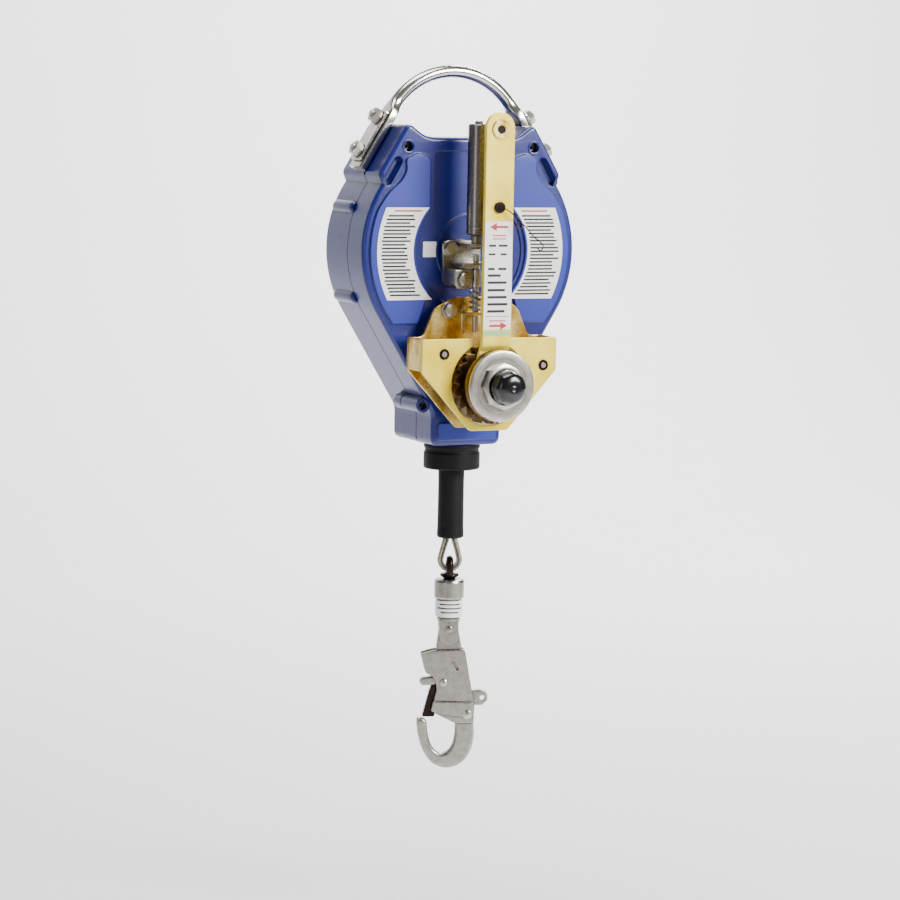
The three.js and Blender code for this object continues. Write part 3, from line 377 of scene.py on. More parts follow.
def piece(name, form, body, material, stands_for=(), sharp=32.0):
    """Makes the form a mesh object that rides on a body and stands for its CAD nodes."""
    points = (np.concatenate(form.points) - [0, 0, ANCHOR]) * MM
    mesh = bpy.data.meshes.new(name)
    mesh.from_pydata(points.tolist(), [], form.faces)
    tidy_mesh(mesh)
    mesh.polygons.foreach_set("use_smooth", np.ones(len(mesh.polygons), bool))
    mesh.set_sharp_from_angle(angle=math.radians(sharp))
    mesh.materials.append(material)
    obj = bpy.data.objects.new(name, mesh)
    bpy.context.scene.collection.objects.link(obj)
    if sharp < 90:
        modifier = obj.modifiers.new("flat faces", "WEIGHTED_NORMAL")
        modifier.keep_sharp = True
    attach(obj, body)
    if stands_for:
        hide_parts(*stands_for)
    return obj


def tidy_mesh(mesh):
    """Merges doubled points, drops faces without area and turns all faces outwards."""
    work = bmesh.new()
    work.from_mesh(mesh)
    bmesh.ops.remove_doubles(work, verts=work.verts, dist=2e-6)
    bmesh.ops.dissolve_degenerate(work, edges=work.edges, dist=1e-7)
    bmesh.ops.recalc_face_normals(work, faces=work.faces)
    work.to_mesh(mesh)
    work.free()
    mesh.update()


# ---------------------------------------------------------------- materials


def add_node(tree, kind, inputs=None, **settings):
    """Adds a shader node; each input is a constant or another node's output."""
    node = tree.nodes.new(kind)
    for key, value in settings.items():
        setattr(node, key, value)
    for key, value in (inputs or {}).items():
        if isinstance(value, bpy.types.NodeSocket):
            tree.links.new(value, node.inputs[key])
        else:
            node.inputs[key].default_value = value
    return node


def noise(tree, size, detail=4.0):
    """Noise with patches about size millimetres long on each axis of the piece."""
    place = add_node(tree, "ShaderNodeTexCoord").outputs["Object"]
    scale = [1 / (MM * s) for s in size]
    fitted = add_node(tree, "ShaderNodeMapping", {"Vector": place, "Scale": scale}).outputs["Vector"]
    return add_node(tree, "ShaderNodeTexNoise", {"Vector": fitted, "Scale": 1.0, "Detail": detail}).outputs[0]


def finish(name, base, rough, cloud=(30, 30, 30), grain=(0.5, 0.5, 0.5), **choices):
    """A solid finish.

    Its tone drifts by spread in patches the size of cloud, its roughness by drift, and its surface
    rises by relief in grains the size of grain, all in millimetres. The corner shade distance paints
    shade into the colour of corners and hollows within it, found by ambient occlusion. Other choices
    are the shader's own values.
    """
    material = bpy.data.materials.get(name)
    if material:
        return material
    spread = choices.pop("spread", 0.1)
    drift = choices.pop("drift", 0.05)
    relief = choices.pop("relief", 0.01)
    crevice = choices.pop("crevice", 0.0)
    second = choices.pop("second", [c * (1 + spread) for c in base])
    material = bpy.data.materials.new(name)
    material.use_nodes = True
    tree = material.node_tree
    shader = tree.nodes["Principled BSDF"]
    for key, value in choices.items():
        shader.inputs[key.replace("_", " ")].default_value = value
    patches = noise(tree, cloud)
    even = {"Value": patches, "From Min": 0.35, "From Max": 0.65}
    amount = add_node(tree, "ShaderNodeMapRange", even).outputs[0]
    ends = {0: amount, 6: (*[c * (1 - spread) for c in base], 1), 7: (*second, 1)}
    tone = add_node(tree, "ShaderNodeMix", ends, data_type="RGBA").outputs[2]
    # Painted shade: ambient occlusion darkens the colour towards a quarter of the base in corners and
    # hollows.
    if crevice:
        corner_occlusion = add_node(tree, "ShaderNodeAmbientOcclusion", {"Distance": crevice * MM},
                        samples=12).outputs["AO"]
        shade = {0: corner_occlusion, 6: (*[c * 0.25 for c in base], 1), 7: tone}
        tone = add_node(tree, "ShaderNodeMix", shade, data_type="RGBA").outputs[2]
    tree.links.new(tone, shader.inputs["Base Color"])
    grains = noise(tree, grain, 6.0)
    level = {"Value": grains, "From Min": 0.3, "From Max": 0.7, "To Min": rough - drift,
             "To Max": rough + drift}
    tree.links.new(add_node(tree, "ShaderNodeMapRange", level).outputs[0], shader.inputs["Roughness"])
    bump = {"Height": grains, "Strength": 1.0, "Distance": relief * MM}
    tree.links.new(add_node(tree, "ShaderNodeBump", bump).outputs[0], shader.inputs["Normal"])
    return material


def gloss_enamel():
    """Sprayed gloss enamel on a casting: a clear skin with a faint orange peel, in the deeper tone that
    paints shade on all but the raised panels.
    """
    base = bpy.context.scene.lifeline_colours.enamel_shaded
    return finish("Gloss blue enamel with painted shade", base, 0.34, (60, 60, 60), (4, 4, 4), spread=0.12, relief=0.01,
                  drift=0.03, crevice=4.0, Coat_Weight=0.35, Coat_Roughness=0.12)


def lit_panel_enamel():
    """The same enamel on the broad raised panels, more even, in a paler tone that paints light on them."""
    base = bpy.context.scene.lifeline_colours.enamel
    return finish("Satin blue enamel with painted light", base, 0.42, (80, 80, 80), (4, 4, 4), spread=0.08, relief=0.008,
                  drift=0.03, crevice=3.0, Coat_Weight=0.15, Coat_Roughness=0.25)


def polished_stainless():
    """Polished stainless steel with fine draw marks along the bar."""
    base = bpy.context.scene.lifeline_colours.stainless
    return finish("Polished stainless steel", base, 0.17, (25, 25, 60), (0.3, 0.3, 6), spread=0.06,
                  relief=0.004, drift=0.06, crevice=3.0, Metallic=1.0)


def bright_zinc():
    """Bright zinc plate on machined steel, a little uneven."""
    base = bpy.context.scene.lifeline_colours.zinc
    return finish("Bright zinc plated steel", base, 0.3, (8, 8, 8), (0.4, 0.4, 0.4), spread=0.12,
                  relief=0.008, drift=0.08, crevice=2.5, Metallic=1.0)


def forged_zinc():
    """Zinc plate over the grainy skin of a drop forging."""
    base = bpy.context.scene.lifeline_colours.zinc
    return finish("Zinc plated forging", [c * 0.72 for c in base], 0.3, (6, 6, 6), (0.8, 0.8, 0.8),
                  spread=0.12, relief=0.02, drift=0.1, crevice=3.0, Metallic=1.0)


def pale_chromate():
    """Pale yellow chromate on the front sheet and the crank arm."""
    base = bpy.context.scene.lifeline_colours.chromate
    return finish("Pale yellow chromate", base, 0.36, (35, 35, 50), (0.5, 0.5, 2), spread=0.06, relief=0.006,
                  drift=0.06, crevice=2.0, second=linear("#FBE75E"), Metallic=0.25)


def gold_chromate():
    """Golden chromate, with brown and rainbow patches, on the winch's inner sheet."""
    base = bpy.context.scene.lifeline_colours.chromate_gold
    return finish("Golden yellow chromate", base, 0.3, (14, 14, 22), (0.5, 0.5, 2), spread=0.2, relief=0.006,
                  drift=0.08, crevice=9.0, second=linear("#F0D88A"), Metallic=0.9)


def aged_bronze():
    """Bronze friction parts, browned by oil."""
    base = bpy.context.scene.lifeline_colours.bronze
    return finish("Oiled bronze", base, 0.34, (6, 6, 6), (0.4, 0.4, 0.4), spread=0.3, relief=0.01,
                  drift=0.1, crevice=3.0, Metallic=1.0)


def dark_steel():
    """Bare drawn steel tube with a thin oil film."""
    base = bpy.context.scene.lifeline_colours.dark_steel
    return finish("Oiled dark steel", base, 0.3, (20, 20, 60), (0.6, 0.6, 2), spread=0.1, relief=0.004,
                  drift=0.06, crevice=2.0, Metallic=1.0)


def browned_steel():
    """Browned hardened steel of gates, bails and catches."""
    base = bpy.context.scene.lifeline_colours.brown_steel
    return finish("Browned hard steel", base, 0.35, (7, 7, 7), (0.5, 0.5, 0.5), spread=0.25, relief=0.012,
                  drift=0.08, crevice=2.0, Metallic=1.0)


def moulded_rubber():
    """Moulded black rubber, slightly waxy."""
    base = bpy.context.scene.lifeline_colours.rubber
    return finish("Black moulded rubber", base, 0.55, (20, 20, 40), (0.6, 0.6, 0.6), spread=0.18, relief=0.02,
                  drift=0.08, Specular_IOR_Level=0.2)


def black_plastic():
    """Glossy black moulded plastic."""
    base = bpy.context.scene.lifeline_colours.rubber
    return finish("Glossy black plastic", [c * 0.7 for c in base], 0.2, (10, 10, 10), (0.7, 0.7, 0.7),
                  spread=0.1, relief=0.01, drift=0.05, Coat_Weight=0.4, Coat_Roughness=0.1)


def label_film():
    """White vinyl label film under a clear layer."""
    base = bpy.context.scene.lifeline_colours.film
    return finish("White vinyl film", base, 0.35, (20, 20, 20), (1, 1, 1), spread=0.02, relief=0.004,
                  Coat_Weight=0.3, Coat_Roughness=0.15)


def black_ink():
    """Black screen ink."""
    base = bpy.context.scene.lifeline_colours.ink
    return finish("Black screen ink", base, 0.5, (6, 6, 6), (0.4, 0.4, 0.4), spread=0.15, relief=0.003)


def red_ink():
    """Faded red screen ink."""
    base = bpy.context.scene.lifeline_colours.red_ink
    return finish("Red screen ink", base, 0.5, (6, 6, 6), (0.4, 0.4, 0.4), spread=0.12, relief=0.003)


def green_ink():
    """Pale green screen ink."""
    return finish("Green screen ink", linear("#9CC285"), 0.5, (6, 6, 6), (0.4, 0.4, 0.4), spread=0.1,
                  relief=0.003)


def spring_wire():
    """Drawn spring wire with a blued skin."""
    return finish("Blued spring wire", linear("#6E6C72"), 0.28, (5, 5, 5), (0.3, 0.3, 0.3), relief=0.005,
                  Metallic=1.0)


def cast_alloy():
    """Tumbled aluminium casting."""
    return finish("Tumbled aluminium casting", linear("#A7A6A2"), 0.48, (12, 12, 12), (0.9, 0.9, 0.9),
                  relief=0.03, Metallic=1.0)


def galvanised_wire():
    """Galvanised rope wires lying along the rope."""
    base = bpy.context.scene.lifeline_colours.rope
    return finish("Galvanised rope wire", base, 0.36, (4, 4, 8), (0.35, 0.35, 5), spread=0.25, relief=0.06,
                  drift=0.1, crevice=1.5, Metallic=1.0)


FRAME_FINISHES = {
    "blue_enamel": gloss_enamel,
    "stainless": polished_stainless,
    "zinc_steel": bright_zinc,
    "yellow_zinc": gold_chromate,
    "bronze": aged_bronze,
    "dark_steel": browned_steel,
    "rubber": moulded_rubber,
    "black_plastic": black_plastic,
    "white_plastic": label_film,
    "spring_steel": spring_wire,
    "cast_alloy": cast_alloy,
    "wire_rope": galvanised_wire,
}


# ---------------------------------------------------------------- pieces


def axis_shape(radius, along, axis):
    """A grid of points from radii and distances along an axis, one row for each place on the profile."""
    sides = radius.shape[1]
    t = np.linspace(0, TURN, sides, endpoint=False)
    across, up = radius * np.cos(t), radius * np.sin(t)
    order = {"Y": (across, along, up), "Z": (across, up, along), "X": (along, across, up)}[axis]
    return np.stack(order, axis=2)


def faceted_head(apothem, low, high, flats=6, bore=0.0, centre=(0, 0, 0), axis="Y"):
    """A nut or a bolt head whose corners are cut back by a 30 degree cone at its high end."""
    t = np.linspace(0, TURN, flats * 12, endpoint=False)
    corner = apothem / np.cos(t % (TURN / flats) - math.pi / flats)
    way = 1 if high > low else -1
    drop = way * (corner - apothem * 0.96) * math.tan(math.pi / 6)
    even = np.ones_like(t)
    rows = [(bore * even, low * even), (corner, low * even), (corner, high - drop)]
    rows += [(apothem * 0.95 * even, high * even), (bore * even, high * even)]
    grid = axis_shape(np.array([r for r, _ in rows]), np.array([a for _, a in rows]), axis)
    form = Form()
    form.add_grid(grid + np.array(centre, float), close_rows=True)
    return form


def block(low, high, edge=0.6):
    """A box between two corners with rounded edges along Y."""
    form = Form()
    corners = [(low[0], low[2], edge), (high[0], low[2], edge), (high[0], high[2], edge),
               (low[0], high[2], edge)]
    form.plate(rounded(corners, 4), low[1], high[1], edge * 0.6)
    return form


def case_outline(points=56):
    """The case seen from the front, starting and ending at the middle of its base."""
    radius = bpy.context.scene.lifeline_sizes.case_radius
    block_top = -(radius - 39 * math.cos(TILT)) / math.sin(TILT)
    tilt = math.degrees(TILT)
    ledge = tilt + math.degrees(math.asin(6 / radius))
    right = [(0, -197.6), (39, -197.6, 9), (39, block_top, 6)]
    right += [tuple(p) for p in arc(0, 0, radius, -tilt, ledge, points)]
    right += [(*shoulder(1, 127.4, 12), 5), (*shoulder(1, 127.4, 73), 8), (50, 113.5, 10)]
    left = [(-p[0], *p[1:]) for p in right[::-1]]
    return rounded(right + left, 7)


def cavity_outline():
    low = -(114 - 22 * math.cos(TILT)) / math.sin(TILT)
    right = np.concatenate([[(0, low), (22, low)], arc(0, 0, 114, -31.5, 65.8, 40)])
    return np.concatenate([right, (right * [-1, 1])[::-1]])


def case_half(form, rim, floor, face, children, shaft_hole=False):
    """One half of the case.

    From the joint face the outline and the cavity run together as one C, because the rope's hole
    crosses the joint: its half width at y is sqrt(hole^2 - (y - rope)^2). Past the hole they part.
    """
    hole = 8.3
    edge = bpy.context.scene.lifeline_sizes.case_edge
    way = 1 if face > rim else -1
    outer, inner = case_outline(), cavity_outline()
    rings = []
    for t in np.sin(np.linspace(0, math.pi / 2, 7)):
        y = rim + (ROPE_Y + way * hole - rim) * t
        half = math.sqrt(max(hole**2 - (y - ROPE_Y) ** 2, 0))
        outer[0, 0] = inner[0, 0] = half
        outer[-1, 0] = inner[-1, 0] = -half
        rings.append(form.ring(np.concatenate([outer, inner[::-1]]), y))
    form.wall(rings)
    form.cap(rings[0])
    outside, inside = rings[-1][: len(outer)], rings[-1][len(outer) :][::-1]
    steps = [form.ring(inset(outer, side), face - way * (edge - go)) for side, go in quarter(edge, 7)]
    form.wall([outside, *steps])
    end = form.ring(inner, floor)
    form.wall([inside, end])
    outer_holes = [form.terrace(*child) for child in children]
    inner_holes = []
    if shaft_hole:
        bore = [form.ring(circle(0, HUB_Z, 9.6), y) for y in (face, floor)]
        form.wall(bore)
        outer_holes.append(bore[0])
        inner_holes.append(bore[1])
    form.cap(steps[-1], outer_holes)
    form.cap(end, inner_holes)


def panel_outline():
    """The right label panel: the case edge outside, the round recess inside and the screw ear above."""
    outer = [tuple(p) for p in arc(0, 0, 112.8, -38, 22, 30)]
    top = [(93.5, 59, 10), (80.5, 69.5, 8), (73.5, 80, 6), (75, 92.5, 4), (60, 99.5, 4), (45.5, 93.5, 4)]
    inner = [tuple(p) for p in arc(0, 0, 61, 41.8, -41.3, 30)]
    return rounded([(57, -74, 4), (86, -74, 5), *outer, *top, *inner], 6)


def keyhole_outline(radius=58.8, half=41.5, top=101):
    start = math.degrees(math.acos(half / radius))
    round_part = [tuple(p) for p in arc(0, 0, radius, 180 - start, 360 + start, 70)]
    return rounded([(half, top, 7), (-half, top, 7), *round_part], 6)


def slot_outline(x0, z0, x1, z1, radius):
    turn = math.degrees(math.atan2(z1 - z0, x1 - x0))
    return np.concatenate([arc(x1, z1, radius, turn - 90, turn + 90, 12),
                           arc(x0, z0, radius, turn + 90, turn + 270, 12)])


def front_case():
    form = Form()
    rise = bpy.context.scene.lifeline_sizes.panel_rise
    face, sunk = CASE_FRONT, CASE_FRONT + 1.6
    bead_inside = (circle(0, 0, 35.9, 64), terrace_step(sunk - 1.6, sunk, 0.6))
    bead = (circle(0, 0, 38.3, 64), terrace_step(sunk, sunk - 1.6, 0.6), (bead_inside,))
    children = [(keyhole_outline(), terrace_step(face, sunk, 0.7), (bead,))]
    pocket_steps = [(0, face), (0.5, face + 0.1), (1.1, face + 0.7), (1.8, face + 3), (2.8, face + 6),
                    (4, face + 7)]
    screw_hole = [(0, face - 0.8), (0.5, face - 0.5), (0.6, face + 12)]
    pad = rounded([(-34, -192.5, 5), (34, -192.5, 5), (34, -172.5, 5), (-34, -172.5, 5)], 6)
    children.append((pad, terrace_step(face, face - 2.2, 1.0)))
    for turn in (lambda loop: loop, mirrored):
        children.append((turn(panel_outline()), terrace_step(face, face - rise, 1.1)))
        children.append((turn(slot_outline(93, 70, 81.5, 89.5, 5.6)), pocket_steps))
        hole = (turn(circle(70.5, 104.3, 5.6)), screw_hole)
        children.append((turn(circle(70.5, 104.3, 7.4)), terrace_step(face, face - 0.8, 0.4), (hole,)))
    case_half(form, PARTING - 0.7, -40, face, children, shaft_hole=True)
    for side in (-1, 1):
        lug = [(0, -33), (4.4, -33), (4.4, -45), (5, -45.6), (7, -45.6), (7.8, -44.8), (7.8, -8.7), (0, -8.7)]
        form.lathe(lug, (side * LUGS[0], 0, LUGS[1]), sides=40)
    return form


def rear_case():
    form = Form()
    face = CASE_REAR
    inner_ring = (circle(0, 0, 66, 72), terrace_step(face - 1.5, face, 0.6))
    children = [(circle(0, 0, 90, 72), terrace_step(face, face - 1.5, 0.6), (inner_ring,))]
    case_half(form, PARTING + 0.7, 43.5, face, children)
    for angle in (21, -24, 159, 204):
        x, z = 117 * math.cos(math.radians(angle)), 117 * math.sin(math.radians(angle))
        dome = [(0, 41), (4, 40.2), (6.3, 37.5), (7, 33), (7, -2), (6.4, -5.4), (4.6, -7.3), (0, -7.3)]
        form.lathe(dome, (x, 0, z), sides=28)
    for side in (-1, 1):
        lug = [(0, 12.4), (4.5, 12.2), (7, 10.6), (7.8, 7.6), (7.8, -6.8), (7.4, -7.3), (0, -7.3)]
        form.lathe(lug, (side * LUGS[0], 0, LUGS[1]), sides=40)
    return form


def paint_panels_lit(obj, level, second):
    """Gives the broad faces that stand at or before a level the second finish, whose paler tone paints light
    on them.
    """
    mesh = obj.data
    mesh.materials.append(second)
    centres = np.empty(len(mesh.polygons) * 3)
    mesh.polygons.foreach_get("center", centres)
    # Painted light: faces on the raised panels take the paler copy of the enamel.
    lit_faces = centres.reshape(-1, 3)[:, 1] < level * MM
    mesh.polygons.foreach_set("material_index", lit_faces.astype(np.int32))


class LIFELINE_OT_case(bpy.types.Operator):
    """Both halves of the cast case and the screws that join them"""

    bl_idname = "lifeline.case"
    bl_label = "Case"

    def execute(self, context):
        shell = piece("front_case", front_case(), "housing", gloss_enamel(), ["front_shell"])
        # Painted light and shade: the raised panels take the paler enamel, the rest of the case the deeper
        # one.
        paint_panels_lit(shell, CASE_FRONT - 1.7, lit_panel_enamel())
        piece("rear_case", rear_case(), "housing", gloss_enamel(), ["rear_shell"])
        screws = Form()
        for x, z in ((70.5, 104.3), (-70.5, 104.3), LUGS, (-LUGS[0], LUGS[1])):
            head = [(0, -34.8), (2.2, -34.8), (2.2, -38.2), (3.8, -38.2), (4.2, -37.7), (4.2, -33.2),
                    (0, -33.2)]
            screws.lathe(head, (x, 0, z), sides=24)
        piece("case_screws", screws, "housing", dark_steel())
        return {"FINISHED"}


def bar_path():
    """The handle's middle line: up one shoulder, over the arch and down the other."""
    out = 100 * math.sin(TILT) + 80
    right = [shoulder(1, out, along) for along in np.linspace(14, 84, 15)]
    span = 90 - math.degrees(TILT)
    over = arc(0, 100, 80, 90 - span, 90 + span, 49)
    left = [(-x, z) for x, z in right[::-1]]
    flat = np.array([*right, *over, *left])
    return np.stack([flat[:, 0], np.zeros(len(flat)), flat[:, 1]], axis=1)


def handle_bar():
    """A bar whose section eases from a circle over the arch to a flat leg on each shoulder."""
    path = bar_path()
    bar = bpy.context.scene.lifeline_sizes.bar / 2
    steps = np.arange(len(path))
    ends = np.clip((np.minimum(steps, steps[::-1]) - 12) / 6, 0, 1)
    ease = ends**2 * (3 - 2 * ends)
    sections = [oval(4.5 + (bar - 4.5) * e, 13 + (bar - 13) * e, 32, 2 + 5 * (1 - e)) for e in ease]
    form = Form().sweep(path, np.array(sections), (0, 1, 0))
    return form


def on_shoulder(side, along):
    """The turn and the shift that carry a piece drawn along +X onto a handle shoulder."""
    turn = about_y(-TILT) if side > 0 else np.diag([-1, 1, 1]) @ about_y(-TILT)
    x, z = shoulder(side, 0, along)
    return turn, (x, 0, z)


def handle_bolt():
    """Washer, hexagon head and the thread's rounded end, drawn along +X."""
    form = Form().lathe([(0, 140.35), (7.6, 140.35), (8, 140.7), (8, 141.6), (7.6, 141.95), (0, 141.95)],
                        axis="X", sides=40)
    form.join(faceted_head(7, 141.9, 148.2, axis="X"))
    form.lathe([(0, 128), (4, 128), (4, 149.6), (3.2, 150.4), (0, 150.4)], axis="X", sides=28)
    return form


class LIFELINE_OT_handle(bpy.types.Operator):
    """The anchor handle with its straps and bolts"""

    bl_idname = "lifeline.handle"
    bl_label = "Anchor handle"

    def execute(self, context):
        steel = polished_stainless()
        piece("handle_bar", handle_bar(), "housing", steel, ["anchor_handle"], sharp=50)
        for name, side in (("left", -1), ("right", 1)):
            loop = rounded([(-11, 20, 4), (11, 20, 4), (11, 79, 4), (-11, 79, 4)], 5)
            flat = Form().plate(loop, 0, 3, 0.6)
            strap = Form().join(flat, [[0, 1, 0], [1, 0, 0], [0, 0, 1]], (137.05, 0, 0))
            turn, _ = on_shoulder(side, 0)
            piece(f"{name}_backing_strap", Form().join(strap, turn), "housing", steel,
                  [f"{name}_strap"])
            for i, along in enumerate((30, 69), 1):
                turn, shift = on_shoulder(side, along)
                bolt = Form().join(handle_bolt(), turn, shift)
                piece(f"{name}_bolt_{i}", bolt, "housing", bright_zinc(),
                      [f"{name}_handle_bolt_{i}"])
        return {"FINISHED"}


# ---- labels


def label_outline():
    """The right label: round outside, straight above and below, and hollowed round the recess."""
    outer = [tuple(p) for p in arc(0, 0, 104.5, -27.8, 24.8, 24)]
    inner = [tuple(p) for p in arc(0, 0, 64.5, 42.5, -48.5, 24)]
    return rounded([(47, -48.5, 1), (92.6, -48.7, 1), *outer, (94.5, 43.8, 1), (47.5, 43.8, 1), *inner], 3)


def bar_marks(form, rows, y):
    """Plain printed bars, each row (x from, x to, z, height), as thin plates."""
    for x0, x1, z, tall in rows:
        form.join(block((x0, y, z - tall / 2), (x1, y + 0.05, z + tall / 2), 0.02))


def label_rows(side, seed):
    """Rule lines that fill the label between its hollow and its outer edge."""
    random = np.random.default_rng(seed)
    rows = []
    for z in np.arange(35.5, -46, -3.6):
        inner = max(math.sqrt(max(64.5**2 - z**2, 0)), 47) + 3
        outer = math.sqrt(104.5**2 - z**2) - 4
        end = outer - random.uniform(0, 0.22) * (outer - inner)
        low, high = (inner, end) if side > 0 else (-outer + (outer - end) * 0.2, -inner - (outer - end))
        rows.append((low, high, z, 1.8))
    return rows


def arrow_outline(x, z, size, way):
    """A plain arrow that points left or right."""
    tail, neck, half, thin = way * size, way * size * 0.25, size * 0.42, size * 0.11
    loop = np.array([(-tail, 0), (-neck, half), (-neck, thin), (tail, thin), (tail, -thin), (-neck, -thin),
                     (-neck, -half)])
    loop = loop * [-1, 1] + [x, z]
    return loop if way > 0 else loop[::-1]


class LIFELINE_OT_labels(bpy.types.Operator):
    """Blank labels with plain rule lines and arrows"""

    bl_idname = "lifeline.labels"
    bl_label = "Labels"

    def execute(self, context):
        panel = CASE_FRONT - bpy.context.scene.lifeline_sizes.panel_rise
        for name, side in (("left", -1), ("right", 1)):
            loop = label_outline() if side > 0 else mirrored(label_outline())
            film = Form().plate(loop, panel - 0.15, panel + 0.02, 0.05)
            piece(f"{name}_label", film, "housing", label_film())
            ink, heading = Form(), Form()
            bar_marks(ink, label_rows(side, 5 + side), panel - 0.2)
            bar_marks(heading, [(56, 86, 40.4, 1.6) if side > 0 else (-86, -56, 40.4, 1.6)], panel - 0.2)
            piece(f"{name}_label_lines", ink, "housing", black_ink())
            piece(f"{name}_label_heading", heading, "housing", red_ink())
        sticker = Form()
        corners = [(-52, -6, 1), (-37, -6, 1), (-37, 9.5, 1), (-52, 9.5, 1)]
        sticker.plate(rounded(corners, 4), CASE_FRONT + 1.4, CASE_FRONT + 1.62, 0.05)
        piece("white_sticker", sticker, "housing", label_film())
        self.arm_label()
        return {"FINISHED"}

    def arm_label(self):
        """The crank arm's label: arrow, rows of bars, rule and arrow, with a green band below."""
        film = Form()
        corners = [(-15.3, -74.5, 1), (15.3, -74.5, 1), (15.3, 32.5, 1), (-15.3, 32.5, 1)]
        film.plate(rounded(corners, 4), ARM_FRONT - 0.15, ARM_FRONT + 0.02, 0.05)
        piece("arm_label", film, "crank", label_film())
        black, red, green = Form(), Form(), Form()
        ink = ARM_FRONT - 0.2
        rows = [(-11, -3, 8.5, 2.2), (0, 10, 8.5, 2.2), (-11, -3.5, 0, 2), (2, 9, 0, 2),
                (-11.5, -4, -14.5, 2.4), (0, 9, -14.5, 2.4)]
        rows += [(-11.5, end, z, 2.6) for end, z in ((3, -21), (9.5, -28), (8, -35.5), (10, -42.5),
                                                     (11, -49.5), (8, -56.5))]
        bar_marks(black, rows, ink)
        bar_marks(red, [(-7, 8, 18.5, 1.2), (-7, 8, 15.2, 1.2), (-9, 9, -66, 1.2), (-13, 13, -61.5, 0.7)],
                  ink)
        red.plate(arrow_outline(0, 27, 10, -1), ink, ink + 0.06, 0.01)
        red.plate(arrow_outline(1, -71, 10, 1), ink, ink + 0.06, 0.01)
        bar_marks(green, [(-15.3, 15.3, -78.5, 5)], ARM_FRONT - 0.06)
        piece("arm_label_bars", black, "crank", black_ink())
        piece("arm_label_arrows", red, "crank", red_ink())
        piece("arm_green_band", green, "crank", green_ink())


# ---- rope


def run_path():
    """The rope from the winding down through the sleeve, round the eye and back into the ferrule."""
    points = [(0, z) for z in (-90, -120, -150, -180, -210, -236)]
    points += [(-0.6, -246), (-2.7, -258), (-2.7, -272), (-2.9, -288), (-6.6, -303)]
    points += [tuple(p) for p in arc(0, -319.5, 10.4, 0.92 * 180, 2.08 * 180, 11)]
    points += [(6.6, -303), (2.9, -288), (2.7, -272), (2.7, -262)]
    flat = smooth_path(points, 8)
    return even_path(np.stack([flat[:, 0], np.zeros(len(flat)), flat[:, 1]], axis=1), 0.8)


def wound_rope(length, diameter):
    """Rope turns side by side in layers: y runs to and fro, and the radius steps up at each end."""
    per_layer, pitch, rise = 5, diameter * 1.008, diameter * 0.95
    turns = 0.0
    radius = 50.3 + diameter / 2
    left = length * 1000
    while left > 0:
        around = TURN * (radius + rise * (turns // per_layer))
        turns += min(left / around, 1)
        left -= around
    t = np.linspace(0, turns, int(turns * 44))
    layer = np.floor(t / per_layer)
    part = t / per_layer - layer
    across = np.where(layer % 2 == 0, part, 1 - part) * pitch * (per_layer - 1) - pitch * (per_layer - 1) / 2
    step = np.clip((part - 0.92) / 0.08, 0, 1) * rise
    r = radius + layer * rise + step
    path = np.stack([r * np.cos(TURN * t), ROPE_Y + across, r * np.sin(TURN * t)], axis=1)
    form = Form().sweep(path, oval(diameter / 2, diameter / 2, 8), (0, 1, 0))
    return form


class LIFELINE_OT_rope(bpy.types.Operator):
    """The wire rope on the drum, its run, its eye and the fittings of the eye"""

    bl_idname = "lifeline.rope"
    bl_label = "Wire rope"

    def execute(self, context):
        sizes = context.scene.lifeline_sizes
        wire = galvanised_wire()
        drum_rope = wound_rope(sizes.rope_length, sizes.rope)
        piece("rope_winding", drum_rope, "drum", wire, ["lifeline_winding"])
        path = run_path()
        form = Form().sweep(path, rope_section(path, sizes.rope, sizes.strands, sizes.rope_lay, 36),
                            (0, 1, 0))
        run = piece("rope_run", hung(form), "lifeline", wire, ["lifeline_run"], sharp=180)
        fittings = self.eye_fittings()
        return {"FINISHED"}

    def eye_fittings(self):
        """The pressed ferrule that closes the eye and the folded thimble inside it."""
        ferrule = Form()
        rows = [(5.0, -283), (5.6, -282.2), (5.6, -263.8), (5.0, -263)]
        loops = [slot_outline(-2.7, 0, 2.7, 0, r) for r, _ in rows]
        inner = slot_outline(-2.7, 0, 2.7, 0, 2.75)
        grid = [np.column_stack([loop, np.full(len(loop), z)]) for loop, (_, z) in zip(loops, rows)]
        grid += [np.column_stack([inner, np.full(len(inner), z)]) for z in (-263, -283)]
        ferrule.add_grid(np.array(grid), close_rows=True)
        turns = np.radians(np.linspace(162, 378, 41))
        round_part = np.stack([7.1 * np.cos(turns), np.zeros(41), -319.5 + 7.1 * np.sin(turns)], axis=1)
        leg = np.array([[0, 0, -293.5], [2.2, 0, -301], [4.4, 0, -308]])
        path = smooth_path(np.concatenate([leg * [-1, 1, 1], round_part[::5], leg[::-1]]), 8)
        groove = [(-1.2, -3.2), (0.35, -3.2), (-0.05, -1.6), (-0.2, 0), (-0.05, 1.6), (0.35, 3.2),
                  (-1.2, 3.2), (-1.4, 0)]
        thimble = Form().sweep(path, np.array(groove), (0, 1, 0))
        return [piece("rope_eye_ferrule", hung(ferrule), "lifeline", bright_zinc(),
                      ["rope_ferrule"]), piece("rope_eye_thimble", hung(thimble), "lifeline",
                                               forged_zinc(), ["thimble"])]


# ---- exit, sleeve and swivel


